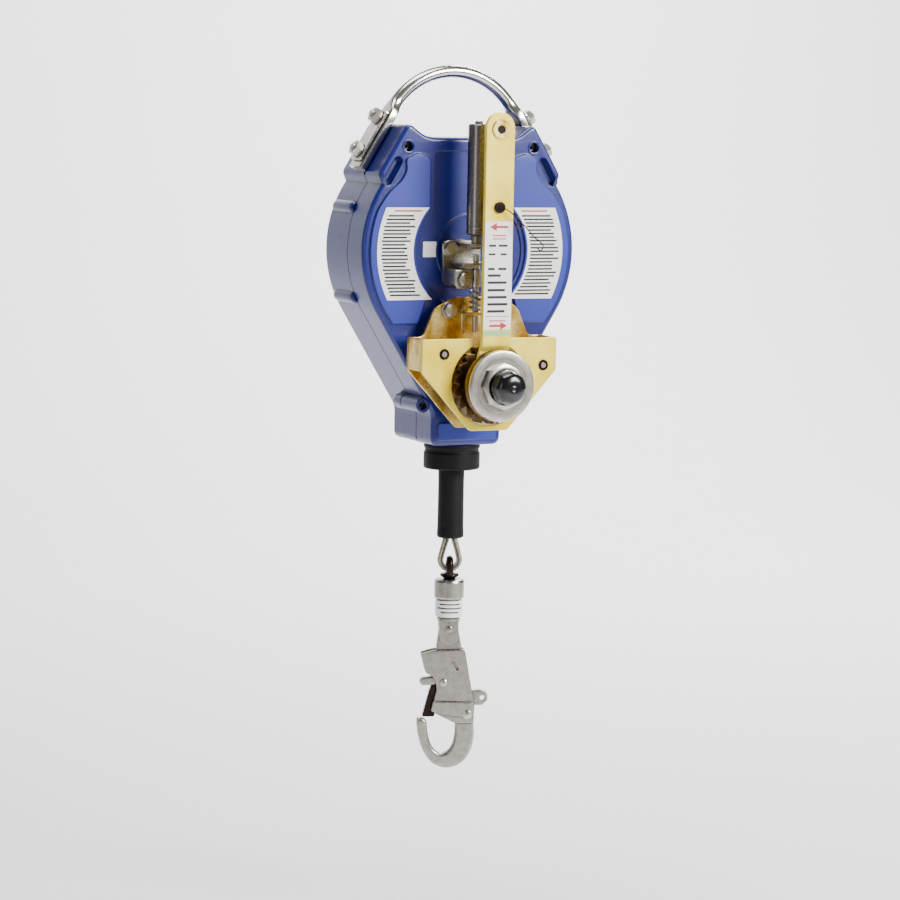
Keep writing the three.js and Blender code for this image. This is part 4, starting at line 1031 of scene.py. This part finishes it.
class LIFELINE_OT_exit(bpy.types.Operator):
    """The rubber collar under the case and the bumper sleeve on the rope"""

    bl_idname = "lifeline.exit"
    bl_label = "Exit and sleeve"

    def execute(self, context):
        collar = Form()
        profile = [(5, -224), (24, -224), (24.8, -222.8), (26.2, -222.8), (27, -224), (28, -224),
                   (29, -222.6), (29, -207.6), (27.8, -206.4), (27.8, -203.2), (29, -202), (29, -197.95),
                   (5, -197.95)]
        collar.lathe(profile, (0, ROPE_Y, 0), "Z", 96, soft=0.5)
        piece("exit_collar", collar, "housing", moulded_rubber(), ["nozzle_collar"], sharp=60)
        sleeve = Form()
        profile = [(3.2, -224.3), (12.4, -224.3), (13.5, -226), (13.3, -240), (13.4, -262), (13.5, -284),
                   (13.8, -291), (13.8, -294.6), (12.8, -296), (10.4, -296), (9.3, -294.6), (9.3, -240.3),
                   (3.2, -236.3)]
        sleeve.lathe(profile, axis="Z", sides=80, soft=0.6)
        piece("rope_bumper_sleeve", hung(sleeve), "lifeline", moulded_rubber(), ["bumper_sleeve"],
              sharp=60)
        return {"FINISHED"}


def bail_form():
    """A bent bar that hangs in the eye, with a neck and a button that turn in the swivel body."""
    form = Form()
    turn = np.radians(np.linspace(0, 180, 25))
    arch = np.stack([np.zeros(25), 7.4 * np.cos(turn), -326 + 7.4 * np.sin(turn)], axis=1)
    low = [[0, 4.6, -337.2], [0, 6.6, -334.6], [0, 7.4, -331]]
    path = smooth_path(np.concatenate([low, arch, (np.array(low) * [1, -1, 1])[::-1]]), 3)
    form.sweep(path, oval(3.4, 3.6, 20), (1, 0, 0))
    neck = [(0, -355), (8.6, -355), (9, -354.4), (9, -351.6), (8.6, -351), (6, -351), (6, -338.2),
            (8.6, -337), (10, -335.6), (9, -333.6), (5, -332.8), (0, -332.6)]
    form.lathe(neck, axis="Z", sides=48, soft=0.3)
    return form


class LIFELINE_OT_swivel(bpy.types.Operator):
    """The swivel between the rope's eye and the hook"""

    bl_idname = "lifeline.swivel"
    bl_label = "Swivel"

    def execute(self, context):
        piece("swivel_bar", hung(bail_form()), "bail", browned_steel(), ["swivel_bail"])
        body = Form()
        profile = [(6.3, -339), (12.6, -339), (14.6, -340), (15.5, -342), (15.5, -357.6), (14.6, -359.4),
                   (12, -359.5), (12, -379), (0, -379), (0, -357), (9.5, -357), (9.5, -350.5), (6.3, -350.5)]
        body.lathe(profile, axis="Z", sides=72, soft=0.35)
        piece("swivel_housing", hung(body), "hook", forged_zinc(), ["swivel_body"])
        band = Form().lathe([(12.3, -378), (14, -378), (14.2, -377.6), (14.2, -361.4), (14, -361),
                             (12.3, -361)], axis="Z", sides=72)
        piece("swivel_marking_band", hung(band), "hook", label_film(), ["swivel_band"])
        marks = Form()
        for z, width in ((-364.5, 46), (-368.6, 60), (-372.8, 40)):
            t = np.radians(np.linspace(-90 - width, -90 + width, 24))
            corners = ((14.15, z - 0.7), (14.28, z - 0.7), (14.28, z + 0.7), (14.15, z + 0.7))
            lines = [np.stack([r * np.cos(t), r * np.sin(t), np.full(24, h)], axis=1) for r, h in corners]
            marks.add_grid(np.array(lines).transpose(1, 0, 2), cap_ends=True)
        piece("swivel_band_lines", hung(marks), "hook", black_ink())
        fork = Form()
        low_end = [tuple(p) for p in arc(0, -398, 10, 180, 360, 24)]
        cheek = rounded([(-10, -381, 2), *low_end, (10, -381, 2)], 4)
        fork.plate(cheek, -9.3, -6.3, 0.6)
        fork.plate(cheek, 6.3, 9.3, 0.6)
        fork.lathe([(0, -383.3), (11.4, -383.3), (12, -382.7), (12, -379.9), (11.4, -379.3), (0, -379.3)],
                   axis="Z", sides=64)
        rivet = [(0, -10.8), (2.6, -10.6), (3.6, -10), (3.9, -9.25), (2.3, -9.2), (2.3, 9.2), (3.9, 9.25),
                 (3.6, 10), (2.6, 10.6), (0, 10.8)]
        fork.lathe(rivet, (0, 0, -391), sides=32)
        piece("swivel_fork", hung(fork), "hook", forged_zinc(), ["swivel_clevis"])
        return {"FINISHED"}


# ---- snap hook


def bezier(p0, p1, p2, p3, count=16):
    """A cubic Bezier curve in X and Z without its first point."""
    t = np.linspace(0, 1, count + 1)[1:, None]
    p0, p1, p2, p3 = (np.array(p, float) for p in (p0, p1, p2, p3))
    curve = (1 - t) ** 3 * p0 + 3 * t * (1 - t) ** 2 * p1 + 3 * t * t * (1 - t) * p2 + t**3 * p3
    return [tuple(p) for p in curve]


def bowl_outline():
    """The forged bowl, from its nose on the left round to the shank on the right."""
    outer = bezier((-31.5, -488), (-31.5, -505), (-24, -537), (0, -537.5), 22)
    outer += bezier((0, -537.5), (20, -537.5), (28.5, -518), (28.5, -500), 18)
    inner = bezier((8.5, -491), (8.5, -505), (7, -520), (-5, -522.5), 16)
    inner += bezier((-5, -522.5), (-16, -520), (-19, -508), (-20.5, -492), 16)
    tip = [(-20.8, -488.5, 2), (-25, -484.6, 2), (-31.2, -484.8, 3), (-31.5, -488, 0)]
    return rounded([(-31.5, -488), *outer, (27.6, -487.2, 3), (8.5, -487.6, 2), (8.5, -491), *inner, *tip], 5)


def cover_outline():
    """The two cheeks over the gate and the lever, with the thumb rest on the left."""
    return rounded([(17, -412, 3), (-15.5, -413, 3), (-28.5, -417, 2.5), (-23.5, -437, 3), (-15, -441, 2),
                    (-11, -452, 4), (-17, -476, 3), (-9, -481.5, 3), (8.6, -489.8, 2), (27.6, -489.6, 2),
                    (28, -470, 4), (24, -450, 6)], 6)


def shank_outline():
    """The flat upper shank between the clevis cheeks and the gate."""
    round_top = [tuple(p) for p in arc(0, -394.2, 10.4, 10, 170, 18)]
    return rounded([(19, -438, 2), *round_top, (-12.5, -410, 6), (-13.6, -438, 2)], 6)


def hook_form():
    form = Form().plate(bowl_outline(), -6, 6, 3.4, steps=7)
    form.plate(shank_outline(), -6, 6, 1.6, steps=5)
    form.plate(cover_outline(), -8.5, -4.7, 1.0, holes=(slot_outline(5.5, -426, 9, -432, 1.5),))
    form.plate(cover_outline(), 4.7, 8.5, 1.0)
    step = rounded([(-15.5, -466, 2), (-17.5, -476.5, 2), (-9.5, -480, 2), (19, -483.5, 2), (27, -482, 3),
                    (27, -467, 3)], 5)
    form.plate(step, -10.2, -8.2, 1.4, steps=6)
    return form


def pin_form(x, z, half, radius=2.3):
    """A rivet with low domed heads."""
    head = radius * 1.7
    profile = [(0, -half), (head * 0.6, -half + 0.2), (head, -half + 1.2), (head, -half + 1.9),
               (radius, -half + 2)]
    form = Form().lathe(profile + [(r, -a) for r, a in profile[::-1]], (x, 0, z), sides=36)
    return form


class LIFELINE_OT_hook(bpy.types.Operator):
    """The snap hook with its gate, lock lever and rivets"""

    bl_idname = "lifeline.hook"
    bl_label = "Snap hook"

    def execute(self, context):
        zinc = forged_zinc()
        piece("hook_forging", hung(hook_form()), "hook", zinc, ["hook_body"], sharp=40)
        bar = [(-3, -443, 2), (-15, -445, 2), (-19, -456, 3), (-26, -483.6, 1.5), (-13.5, -483.6, 1.5),
               (-6, -456, 3), (3, -447, 2)]
        gate = Form().plate(rounded(bar, 5), -4.3, 4.3, 0.9)
        piece("hook_gate_bar", hung(gate), "gate", browned_steel(), ["hook_gate"])
        tab = Form().plate(slot_outline(-24.6, -446.4, -15, -445.6, 4.4), -5.2, 5.2, 1.6, steps=6)
        piece("hook_gate_tab", hung(tab), "gate", zinc)
        catch = [(14.5, -476, 2), (20, -486, 2), (26, -484, 2), (27, -471, 3), (36, -471.5, 2),
                 (42, -466, 2), (41, -458, 2), (34, -455, 2), (24, -456, 3), (17, -460, 2)]
        lever = Form().plate(rounded(catch, 5), -4.3, 4.3, 0.9, holes=(circle(36.2, -463.5, 2.6, 24),))
        piece("hook_lock_lever", hung(lever), "lever", zinc, ["lock_lever"])
        piece("hook_gate_rivet", hung(pin_form(-4.5, -447, 10.7)), "hook", bright_zinc(),
              ["gate_pin"])
        piece("hook_lever_rivet", hung(pin_form(20.5, -480, 11.6, 2.9)), "hook", bright_zinc(),
              ["lever_pin"])
        return {"FINISHED"}


# ---- winch


PAWL_PINS = (("left", -51, -99.6), ("right", 60.2, -112.5))


def front_sheet():
    """A bent-cornered sheet with a round opening that runs out of its top as a slot."""
    half = math.degrees(math.asin(22 / 42.5))
    left = math.degrees(math.asin(19 / 42.5))
    opening = [tuple(p) for p in arc(0, HUB_Z, 42.5, 90 + left, 450 - half, 72)]
    loop = [(75, -84.5, 2), (75, -117.5, 3), (21, -177, 3), (-21, -177, 3), (-75, -117.5, 3),
            (-75, -84.5, 2), (-19, -84.5, 1), *opening, (22, -84.5, 1)]
    form = Form()
    holes = [circle(x, z, 5.3) for _, x, z in PAWL_PINS]
    form.plate(rounded(loop, 5)[::-1], -94.2, -90.2, 0.5, holes=holes)
    return form


def rear_sheet():
    """The winch's inner sheet: a tapered tongue above, side flanges, a pressed rib and three standoffs."""
    loop = [(75, -84.5, 2), (59, -84.5, 5), (47, -56, 6), (24, -45, 6), (-24, -45, 6), (-47, -56, 6),
            (-59, -84.5, 5), (-75, -84.5, 2), (-75, -117.5, 3), (-21, -177, 3), (21, -177, 3),
            (75, -117.5, 3)]
    form = Form().plate(rounded(loop, 5), -62, -58, 0.5, holes=(circle(0, HUB_Z, 9.5), circle(31, -58, 4.4),
                                                                circle(-31, -58, 4.4)))
    for inner in (71, -75):
        flange = [(inner, -116.5, 1), (inner + 4, -116.5, 1), (inner + 4, -84.5, 1), (inner, -84.5, 1)]
        form.plate(rounded(flange, 4), -89.9, -60, 0.3)
    rib = Form().sweep(np.array([[-14, -59.6, z] for z in np.linspace(-84, -52, 12)], float),
                       np.array([oval(4 * s, 4 * s, 24) for s in (0.3, 0.8, *([1] * 8), 0.8, 0.3)]),
                       (0, 1, 0))
    form.join(rib)
    for x, z in ((-50, -100), (50, -100), (0, -163)):
        form.lathe([(0, -59), (8, -59), (8, -46), (7.5, -45.3), (0, -45.3)], (x, 0, z), sides=36)
    seat = Form()
    left, right = GRIP_X - 9, GRIP_X + 9
    corners = [(left, -62.3, 1), (right, -62.3, 1), (right, -59.3, 1), (left, -59.3, 1)]
    seat.plate(rounded(corners, 4), GRIP_Y - 8, -61, 0.3)
    form.join(seat)
    return form


def tooth_plate():
    """The ratchet wheel: leaning teeth round a plain disc."""
    loop = toothed(35, 40.5, 18, 0.62)
    form = Form().plate(rounded([(x, z + HUB_Z, 0.5) for x, z in loop], 3), -97, -84, 0.4,
                        holes=(circle(0, HUB_Z, 9.3),))
    return form


def knob_form():
    """An eight sided cap that closes in a low dome; its corners fade out towards the dome."""
    profile = [(0, -148, 0), (2.4, -147.2, 0), (3.6, -147.9, 0), (9, -147.6, 0.1), (13.4, -146, 0.4),
               (16, -143, 0.8), (17.2, -138, 1), (17.6, -131.5, 1), (17.2, -129.9, 1), (14, -129.9, 0),
               (14, -137.3, 0), (0, -137.3, 0)]
    t = np.linspace(0, TURN, 96, endpoint=False)
    lobe = np.cos(math.pi / 8) / np.cos((t % (TURN / 8)) - math.pi / 8)
    lobe = 1 - 0.55 * (1 - lobe / lobe.max())
    radius = np.array([[r] for r, _, _ in profile]) * (1 - np.array([[k] for _, _,
                                                                     k in profile]) * (1 - lobe))
    along = np.repeat(np.array([[a] for _, a, _ in profile]), 96, axis=1)
    form = Form()
    form.add_grid(axis_shape(radius, along, "Y") + [0, 0, HUB_Z], close_rows=True)
    form.lathe([(0, -138), (4, -138), (4, -39.5), (0, -39.5)], (0, 0, HUB_Z), sides=28)
    return form


class LIFELINE_OT_winch(bpy.types.Operator):
    """The retrieval winch: sheets, pins, ratchet, brake stack and knob"""

    bl_idname = "lifeline.winch"
    bl_label = "Winch"

    def execute(self, context):
        hub = (0, 0, HUB_Z)
        piece("winch_inner_sheet", rear_sheet(), "housing", gold_chromate(), ["winch_bracket"])
        piece("winch_outer_sheet", front_sheet(), "housing", pale_chromate(),
              ["winch_front_plate"])
        for name, x, z in PAWL_PINS:
            pin = Form().lathe([(0, -95.4), (2.4, -95.4), (2.8, -95), (2.8, -94.2), (4, -93.6), (4, -60.6),
                                (0, -60.6)], (x, 0, z), sides=40)
            piece(f"pin_{name}", pin, "housing", bright_zinc(), [f"pawl_pin_{name}"])
            clip = Form().lathe([(3.2, -94.3), (3.2, -95.1), (5, -95.1), (5.3, -94.8), (5.3, -94.3)],
                                (x, 0, z), sides=40)
            piece(f"pin_{name}_clip", clip, "housing", browned_steel())
        piece("ratchet", tooth_plate(), "ratchet", aged_bronze(), ["ratchet_wheel"])
        stack = Form()
        profile = [(9.3, -117.7), (33.4, -117.7), (35.6, -116.6), (36, -115.8), (36, -110.6), (35.4, -109.9),
                   (33.2, -109.6), (33, -106.4), (32.2, -105.7), (28.2, -105.5), (28, -103.2), (9.3, -103.2)]
        stack.lathe(profile, hub, sides=96)
        piece("brake_stack", stack, "crank", aged_bronze(), ["brake_drum"])
        disc = Form().lathe([(9.3, -122.7), (26.4, -122.7), (26.8, -122.4), (27.4, -122.4), (27.8, -122.7),
                             (33.6, -122.7), (35.2, -121.9), (35.7, -120.8), (35.7, -118.4), (35.2, -118),
                             (9.3, -118)], hub, sides=112)
        piece("pressure_disc", disc, "crank", bright_zinc(), ["clamp_disc"])
        nut = faceted_head(21.7, -123, -128.4, 8, 18.4, hub)
        nut.lathe([(18.4, -129.2), (20, -129.2), (20.8, -128.8), (21, -128), (21, -127.6), (18.4, -127.6)],
                  hub, sides=72)
        nut.lathe([(9.3, -124.3), (18.6, -124.3), (18.6, -123.2), (9.3, -123.2)], hub, sides=72)
        piece("stack_nut", nut, "crank", bright_zinc(), ["disc_nut"])
        shaft = Form().lathe([(4.4, -127.7), (8.4, -127.7), (9, -127.1), (9, -42.5), (4.4, -42.5)], hub,
                             sides=48)
        piece("winch_shaft", shaft, "crank", browned_steel(), ["crank_shaft"])
        piece("knob", knob_form(), "shifter", black_plastic(), ["shift_knob"], sharp=40)
        return {"FINISHED"}


# ---- crank arm


class LIFELINE_OT_arm(bpy.types.Operator):
    """The crank arm with its bushing and lock pin"""

    bl_idname = "lifeline.arm"
    bl_label = "Crank arm"

    def execute(self, context):
        rear = ARM_FRONT + 5
        form = Form()
        top = [tuple(p) for p in arc(0, 124, 15.7, 0, 180, 32)]
        holes = (circle(0, 123, 6.8), circle(0, 46.3, 4.3))
        form.plate(rounded([(-15.7, -87), (15.7, -87), *top], 4), ARM_FRONT, rear, 0.5, holes=holes)
        middle = (ARM_FRONT + rear) / 2
        bend = smooth_path([(0, middle, z) for z in (-86, -88)] + [(0, middle + 0.4, -90.5),
                                                                   (0, middle + 2.5, -93),
                                                                   (0, middle + 4.6, -95.5),
                                                                   (0, middle + 5, -98),
                                                                   (0, middle + 5, -101)], 6)
        form.sweep(bend, oval(15.68, 2.48, 40, 9), (0, 1, 0))
        foot = [tuple(p) for p in arc(0, HUB_Z, 24, 180, 360, 40)]
        corners = rounded([*foot, (15.7, -96, 1), (-15.7, -96, 1)], 4)
        form.plate(corners, rear, rear + 5, 0.5, holes=(circle(0, HUB_Z, 9.3),))
        piece("crank_lever", form, "crank", pale_chromate(), ["crank_arm"], sharp=40)
        bushing = Form().lathe([(4, ARM_FRONT - 1.2), (4.6, ARM_FRONT - 1.6), (8.8, ARM_FRONT - 1.6),
                                (9.5, ARM_FRONT - 1), (9.5, ARM_FRONT - 0.3), (6.5, ARM_FRONT - 0.3),
                                (6.5, rear - 0.3), (4, rear - 0.3)], (0, 0, 123), sides=48)
        piece("lever_bushing", bushing, "crank", gold_chromate(), ["arm_bushing"])
        plug = Form().lathe([(0, ARM_FRONT - 0.8), (3.6, ARM_FRONT - 0.8), (4.1, ARM_FRONT - 0.4),
                             (4.1, rear - 0.6), (0, rear - 0.6)], (0, 0, 123), sides=32)
        piece("lever_bushing_plug", plug, "crank", moulded_rubber())
        pin = Form().lathe([(0, ARM_FRONT - 2.6), (2.2, ARM_FRONT - 2.6), (2.6, ARM_FRONT - 2.2),
                            (2.8, ARM_FRONT - 3), (5, ARM_FRONT - 3), (5.6, ARM_FRONT - 2.4),
                            (5.6, ARM_FRONT - 0.3), (4, ARM_FRONT - 0.3), (4, rear + 0.8), (0, rear + 0.8)],
                           (0, 0, 46.3), sides=40)
        piece("lever_lock_pin", pin, "lock_pin", browned_steel(), ["arm_lock_pin"])
        return {"FINISHED"}


# ---- hand grip and latch


class LIFELINE_OT_grip(bpy.types.Operator):
    """The stowed hand grip, its clip, the latch and their bolts"""

    bl_idname = "lifeline.grip"
    bl_label = "Hand grip"

    def execute(self, context):
        grip = Form()
        profile = [(0, 3.6), (4.5, 3.6), (5.5, 4.6), (5.5, 16.5), (9.4, 17.8), (10.5, 19), (10.5, 24.6),
                   (10.1, 25), (10.1, 26), (10.5, 26.4), (10.5, 126.4), (9.7, 127.6), (8.4, 127.7),
                   (8.2, 126.6), (4, 126.6), (4, 130.2), (3.4, 130.7), (0, 130.7)]
        grip.lathe(profile, (GRIP_X, GRIP_Y, 0), "Z", 64)
        piece("stowed_grip", grip, "grip", dark_steel(), ["hand_grip"])
        clip = Form()
        back, front = -49.2, -53.2
        clip.plate(rounded([(-34, -31, 4), (8, -31, 4), (8, 11, 4), (-34, 11, 4)], 5), front, back, 0.6,
                   holes=(circle(-27, 3, 4.3),))
        for low, left in ((6, -19), (-13, -27)):
            shelf = [(left, low, 0.8), (8, low, 0.8), (8, low + 3, 0.8), (left, low + 3, 0.8)]
            clip.plate(rounded(shelf, 4), GRIP_Y - 9, front + 1, 0.8)
        clip.lathe([(0, back - 1), (12, back - 1), (12, -43.7), (0, -43.7)], (-12, 0, 0), sides=40)
        piece("grip_clip", clip, "housing", forged_zinc(), ["grip_bracket"])
        clamp = Form()
        loop = [(-31, -36, 2), (-18, -36, 2), (-14.3, -31, 2), (-14.3, -16.3, 2), (-34.5, -16.3, 2),
                (-34.5, -31, 2)]
        clamp.plate(rounded(loop, 5), GRIP_Y - 6, -54, 1.2)
        clamp.join(faceted_head(6.2, GRIP_Y - 5.9, GRIP_Y - 9, centre=(-24.3, 0, -26)))
        piece("latch_clamp", clamp, "housing", forged_zinc(), ["clamp_block"])
        rod = Form().lathe([(0, -80), (2.6, -80), (3, -79.4), (3, -34), (5.4, -34), (6, -33.2), (6, -17.2),
                            (5.4, -16.5), (3, -16.5), (3, -2.1), (2.4, -1.5), (0, -1.5)],
                           (GRIP_X, GRIP_Y, 0), "Z", 40)
        piece("latch_rod", rod, "plunger", bright_zinc(), ["latch_plunger"])
        self.bolts()
        return {"FINISHED"}

    def bolts(self):
        """The bolts that hold the winch sheet and the clip to the case."""
        places = (("left", -31, -62.3, -58, -52), ("right", 31, -62.3, -58, -52),
                  ("upper", -27, -53.5, 3, -50))
        for name, x, seat, z, end in places:
            bolt = Form().lathe([(0, seat - 1.4), (8, seat - 1.4), (8.4, seat - 1), (8.4, seat), (4, seat),
                                 (4, end), (0, end)], (x, 0, z), sides=40)
            bolt.join(faceted_head(6.1, seat - 1.3, seat - 6, centre=(x, 0, z)))
            piece(f"sheet_bolt_{name}", bolt, "housing", bright_zinc(),
                  [f"bracket_bolt_{name}"])


# ---- seal wire


class LIFELINE_OT_seal(bpy.types.Operator):
    """The twisted seal wire through the lock pin"""

    bl_idname = "lifeline.seal"
    bl_label = "Seal wire"

    def execute(self, context):
        route = [(4, -112, 45), (8, -113, 43), (13, -114, 39), (18, -115, 35), (21, -116, 29),
                 (18, -117, 24), (15, -116, 28), (19, -115, 32), (25, -115, 28), (31, -115, 22),
                 (36, -115, 17), (42, -115, 13), (46, -115, 8), (43, -116, 4), (38, -116, 7)]
        path = even_path(smooth_path(route, 10), 0.4)
        form = Form().sweep(path, rope_section(path, 1.2, 2, 5, 16), (0, 1, 0))
        wire = piece("twisted_seal_wire", form, "lock_pin", browned_steel(), ["seal_wire"],
                     sharp=180)
        return {"FINISHED"}


# ---- carried-over parts, stage and camera


class LIFELINE_OT_inner_parts(bpy.types.Operator):
    """Finishes for the inner parts that are shown as they were drawn"""

    bl_idname = "lifeline.inner_parts"
    bl_label = "Inner parts"

    def execute(self, context):
        slots = {part["node"]: part["material_slot"] for part in frame["record"]["subparts"]}
        for name, obj in frame["nodes"].items():
            if obj.hide_render or name not in slots:
                continue
            obj.data.materials.clear()
            obj.data.materials.append(FRAME_FINISHES[slots[name]]())
        return {"FINISHED"}


def area_light(name, place, aim, size, power, tint="#FFFFFF"):
    """A square soft light that faces a point."""
    data = bpy.data.lights.new(name, "AREA")
    data.shape = "RECTANGLE"
    data.size, data.size_y = size
    data.energy = power
    data.color = linear(tint)
    obj = bpy.data.objects.new(name, data)
    obj.location = place
    obj.rotation_euler = (Vector(aim) - Vector(place)).to_track_quat("-Z", "Y").to_euler()
    bpy.context.scene.collection.objects.link(obj)
    return obj


class LIFELINE_OT_stage(bpy.types.Operator):
    """Pale floor and backdrop, studio lights and the camera"""

    bl_idname = "lifeline.stage"
    bl_label = "Stage"

    def execute(self, context):
        self.backdrop(context)
        world = bpy.data.worlds.new("Pale studio")
        world.use_nodes = True
        background = world.node_tree.nodes["Background"]
        background.inputs["Color"].default_value = (*linear("#F4F4F6"), 1)
        background.inputs["Strength"].default_value = 0.22
        context.scene.world = world
        middle = (0, 0, -0.36)
        lights = [
            area_light("Key", (1.2, -2.0, 0.8), middle, (1.1, 1.1), 120),
            area_light("Fill", (-2.1, -1.4, 0.1), middle, (0.5, 1.4), 7, "#F6F4FF"),
            area_light("Top", (-0.2, -0.2, 1.8), middle, (1.4, 0.9), 36),
            area_light("Backdrop", (1.7, 1.3, 1.9), (1.7, 2.9, -0.3), (1.4, 0.7), 230),
        ]
        self.camera(context)
        return {"FINISHED"}

    def backdrop(self, context):
        """A floor that curves up behind the object."""
        radius, width, floor = 1.2, 6.0, -0.87
        t = np.linspace(0, math.pi / 2, 24)
        profile = [(-5.0, floor), *zip(2.0 + radius * np.sin(t), floor + radius * (1 - np.cos(t))),
                   (3.2, 5.0)]
        grid = np.array([[(x, y, z) for x in (-width, width)] for y, z in profile])
        form = Form()
        form.add_grid(grid, close_columns=False)
        paper = finish("Pale studio paper", linear("#F1F1F1"), 0.8, (900, 900, 900), (3, 3, 3), spread=0.01)
        self.sheet(context, "backdrop", form, paper)

    def sheet(self, context, name, form, material):
        """Makes a form in metres a smooth object of the stage."""
        mesh = bpy.data.meshes.new(name)
        mesh.from_pydata(np.concatenate(form.points).tolist(), [], form.faces)
        mesh.polygons.foreach_set("use_smooth", np.ones(len(mesh.polygons), bool))
        mesh.materials.append(material)
        obj = bpy.data.objects.new(name, mesh)
        context.scene.collection.objects.link(obj)

    def camera(self, context):
        """A long lens from the left and a little above, with a slight roll."""
        turn, rise, roll = map(math.radians, (-26.519, 6.638, 1.1))
        distance = 3.06674
        target = np.array([0.0042, 0, -0.38085])
        back = np.array([math.sin(turn) * math.cos(rise), -math.cos(turn) * math.cos(rise), math.sin(rise)])
        right = np.array([math.cos(turn), math.sin(turn), 0])
        up = np.cross(back, right)
        across = math.cos(roll) * right + math.sin(roll) * up
        above = np.cross(back, across)
        matrix = np.eye(4)
        matrix[:3] = np.column_stack([across, above, back, target + distance * back])
        data = bpy.data.cameras.new("Camera")
        data.sensor_width = 36
        data.lens = 118.99
        obj = bpy.data.objects.new("Camera", data)
        obj.matrix_world = Matrix(matrix.tolist())
        context.scene.collection.objects.link(obj)
        context.scene.camera = obj


class LIFELINE_PT_panel(bpy.types.Panel):
    """Sizes, colours and one button for each piece"""

    bl_idname = "LIFELINE_PT_panel"
    bl_label = "Self retracting lifeline"
    bl_space_type = "VIEW_3D"
    bl_region_type = "UI"
    bl_category = "Lifeline"

    def draw(self, context):
        for group in (context.scene.lifeline_sizes, context.scene.lifeline_colours):
            box = self.layout.box()
            for name in group.__annotations__:
                box.prop(group, name)
        column = self.layout.column()
        for operator in OPERATORS:
            column.operator(operator.bl_idname)


OPERATORS = (
    LIFELINE_OT_stage,
    LIFELINE_OT_rope,
    LIFELINE_OT_seal,
    LIFELINE_OT_case,
    LIFELINE_OT_handle,
    LIFELINE_OT_labels,
    LIFELINE_OT_exit,
    LIFELINE_OT_swivel,
    LIFELINE_OT_hook,
    LIFELINE_OT_winch,
    LIFELINE_OT_arm,
    LIFELINE_OT_grip,
    LIFELINE_OT_inner_parts,
)
CLASSES = (LifelineSizes, LifelineColours, *OPERATORS, LIFELINE_PT_panel)


def register():
    for cls in CLASSES:
        bpy.utils.register_class(cls)
    bpy.types.Scene.lifeline_sizes = PointerProperty(type=LifelineSizes)
    bpy.types.Scene.lifeline_colours = PointerProperty(type=LifelineColours)


def unregister():
    del bpy.types.Scene.lifeline_sizes
    del bpy.types.Scene.lifeline_colours
    for cls in reversed(CLASSES):
        bpy.utils.unregister_class(cls)


def main():
    register()
    for operator in OPERATORS:
        group, name = operator.bl_idname.split(".")
        getattr(getattr(bpy.ops, group), name)()


if __name__ == "__main__":
    main()
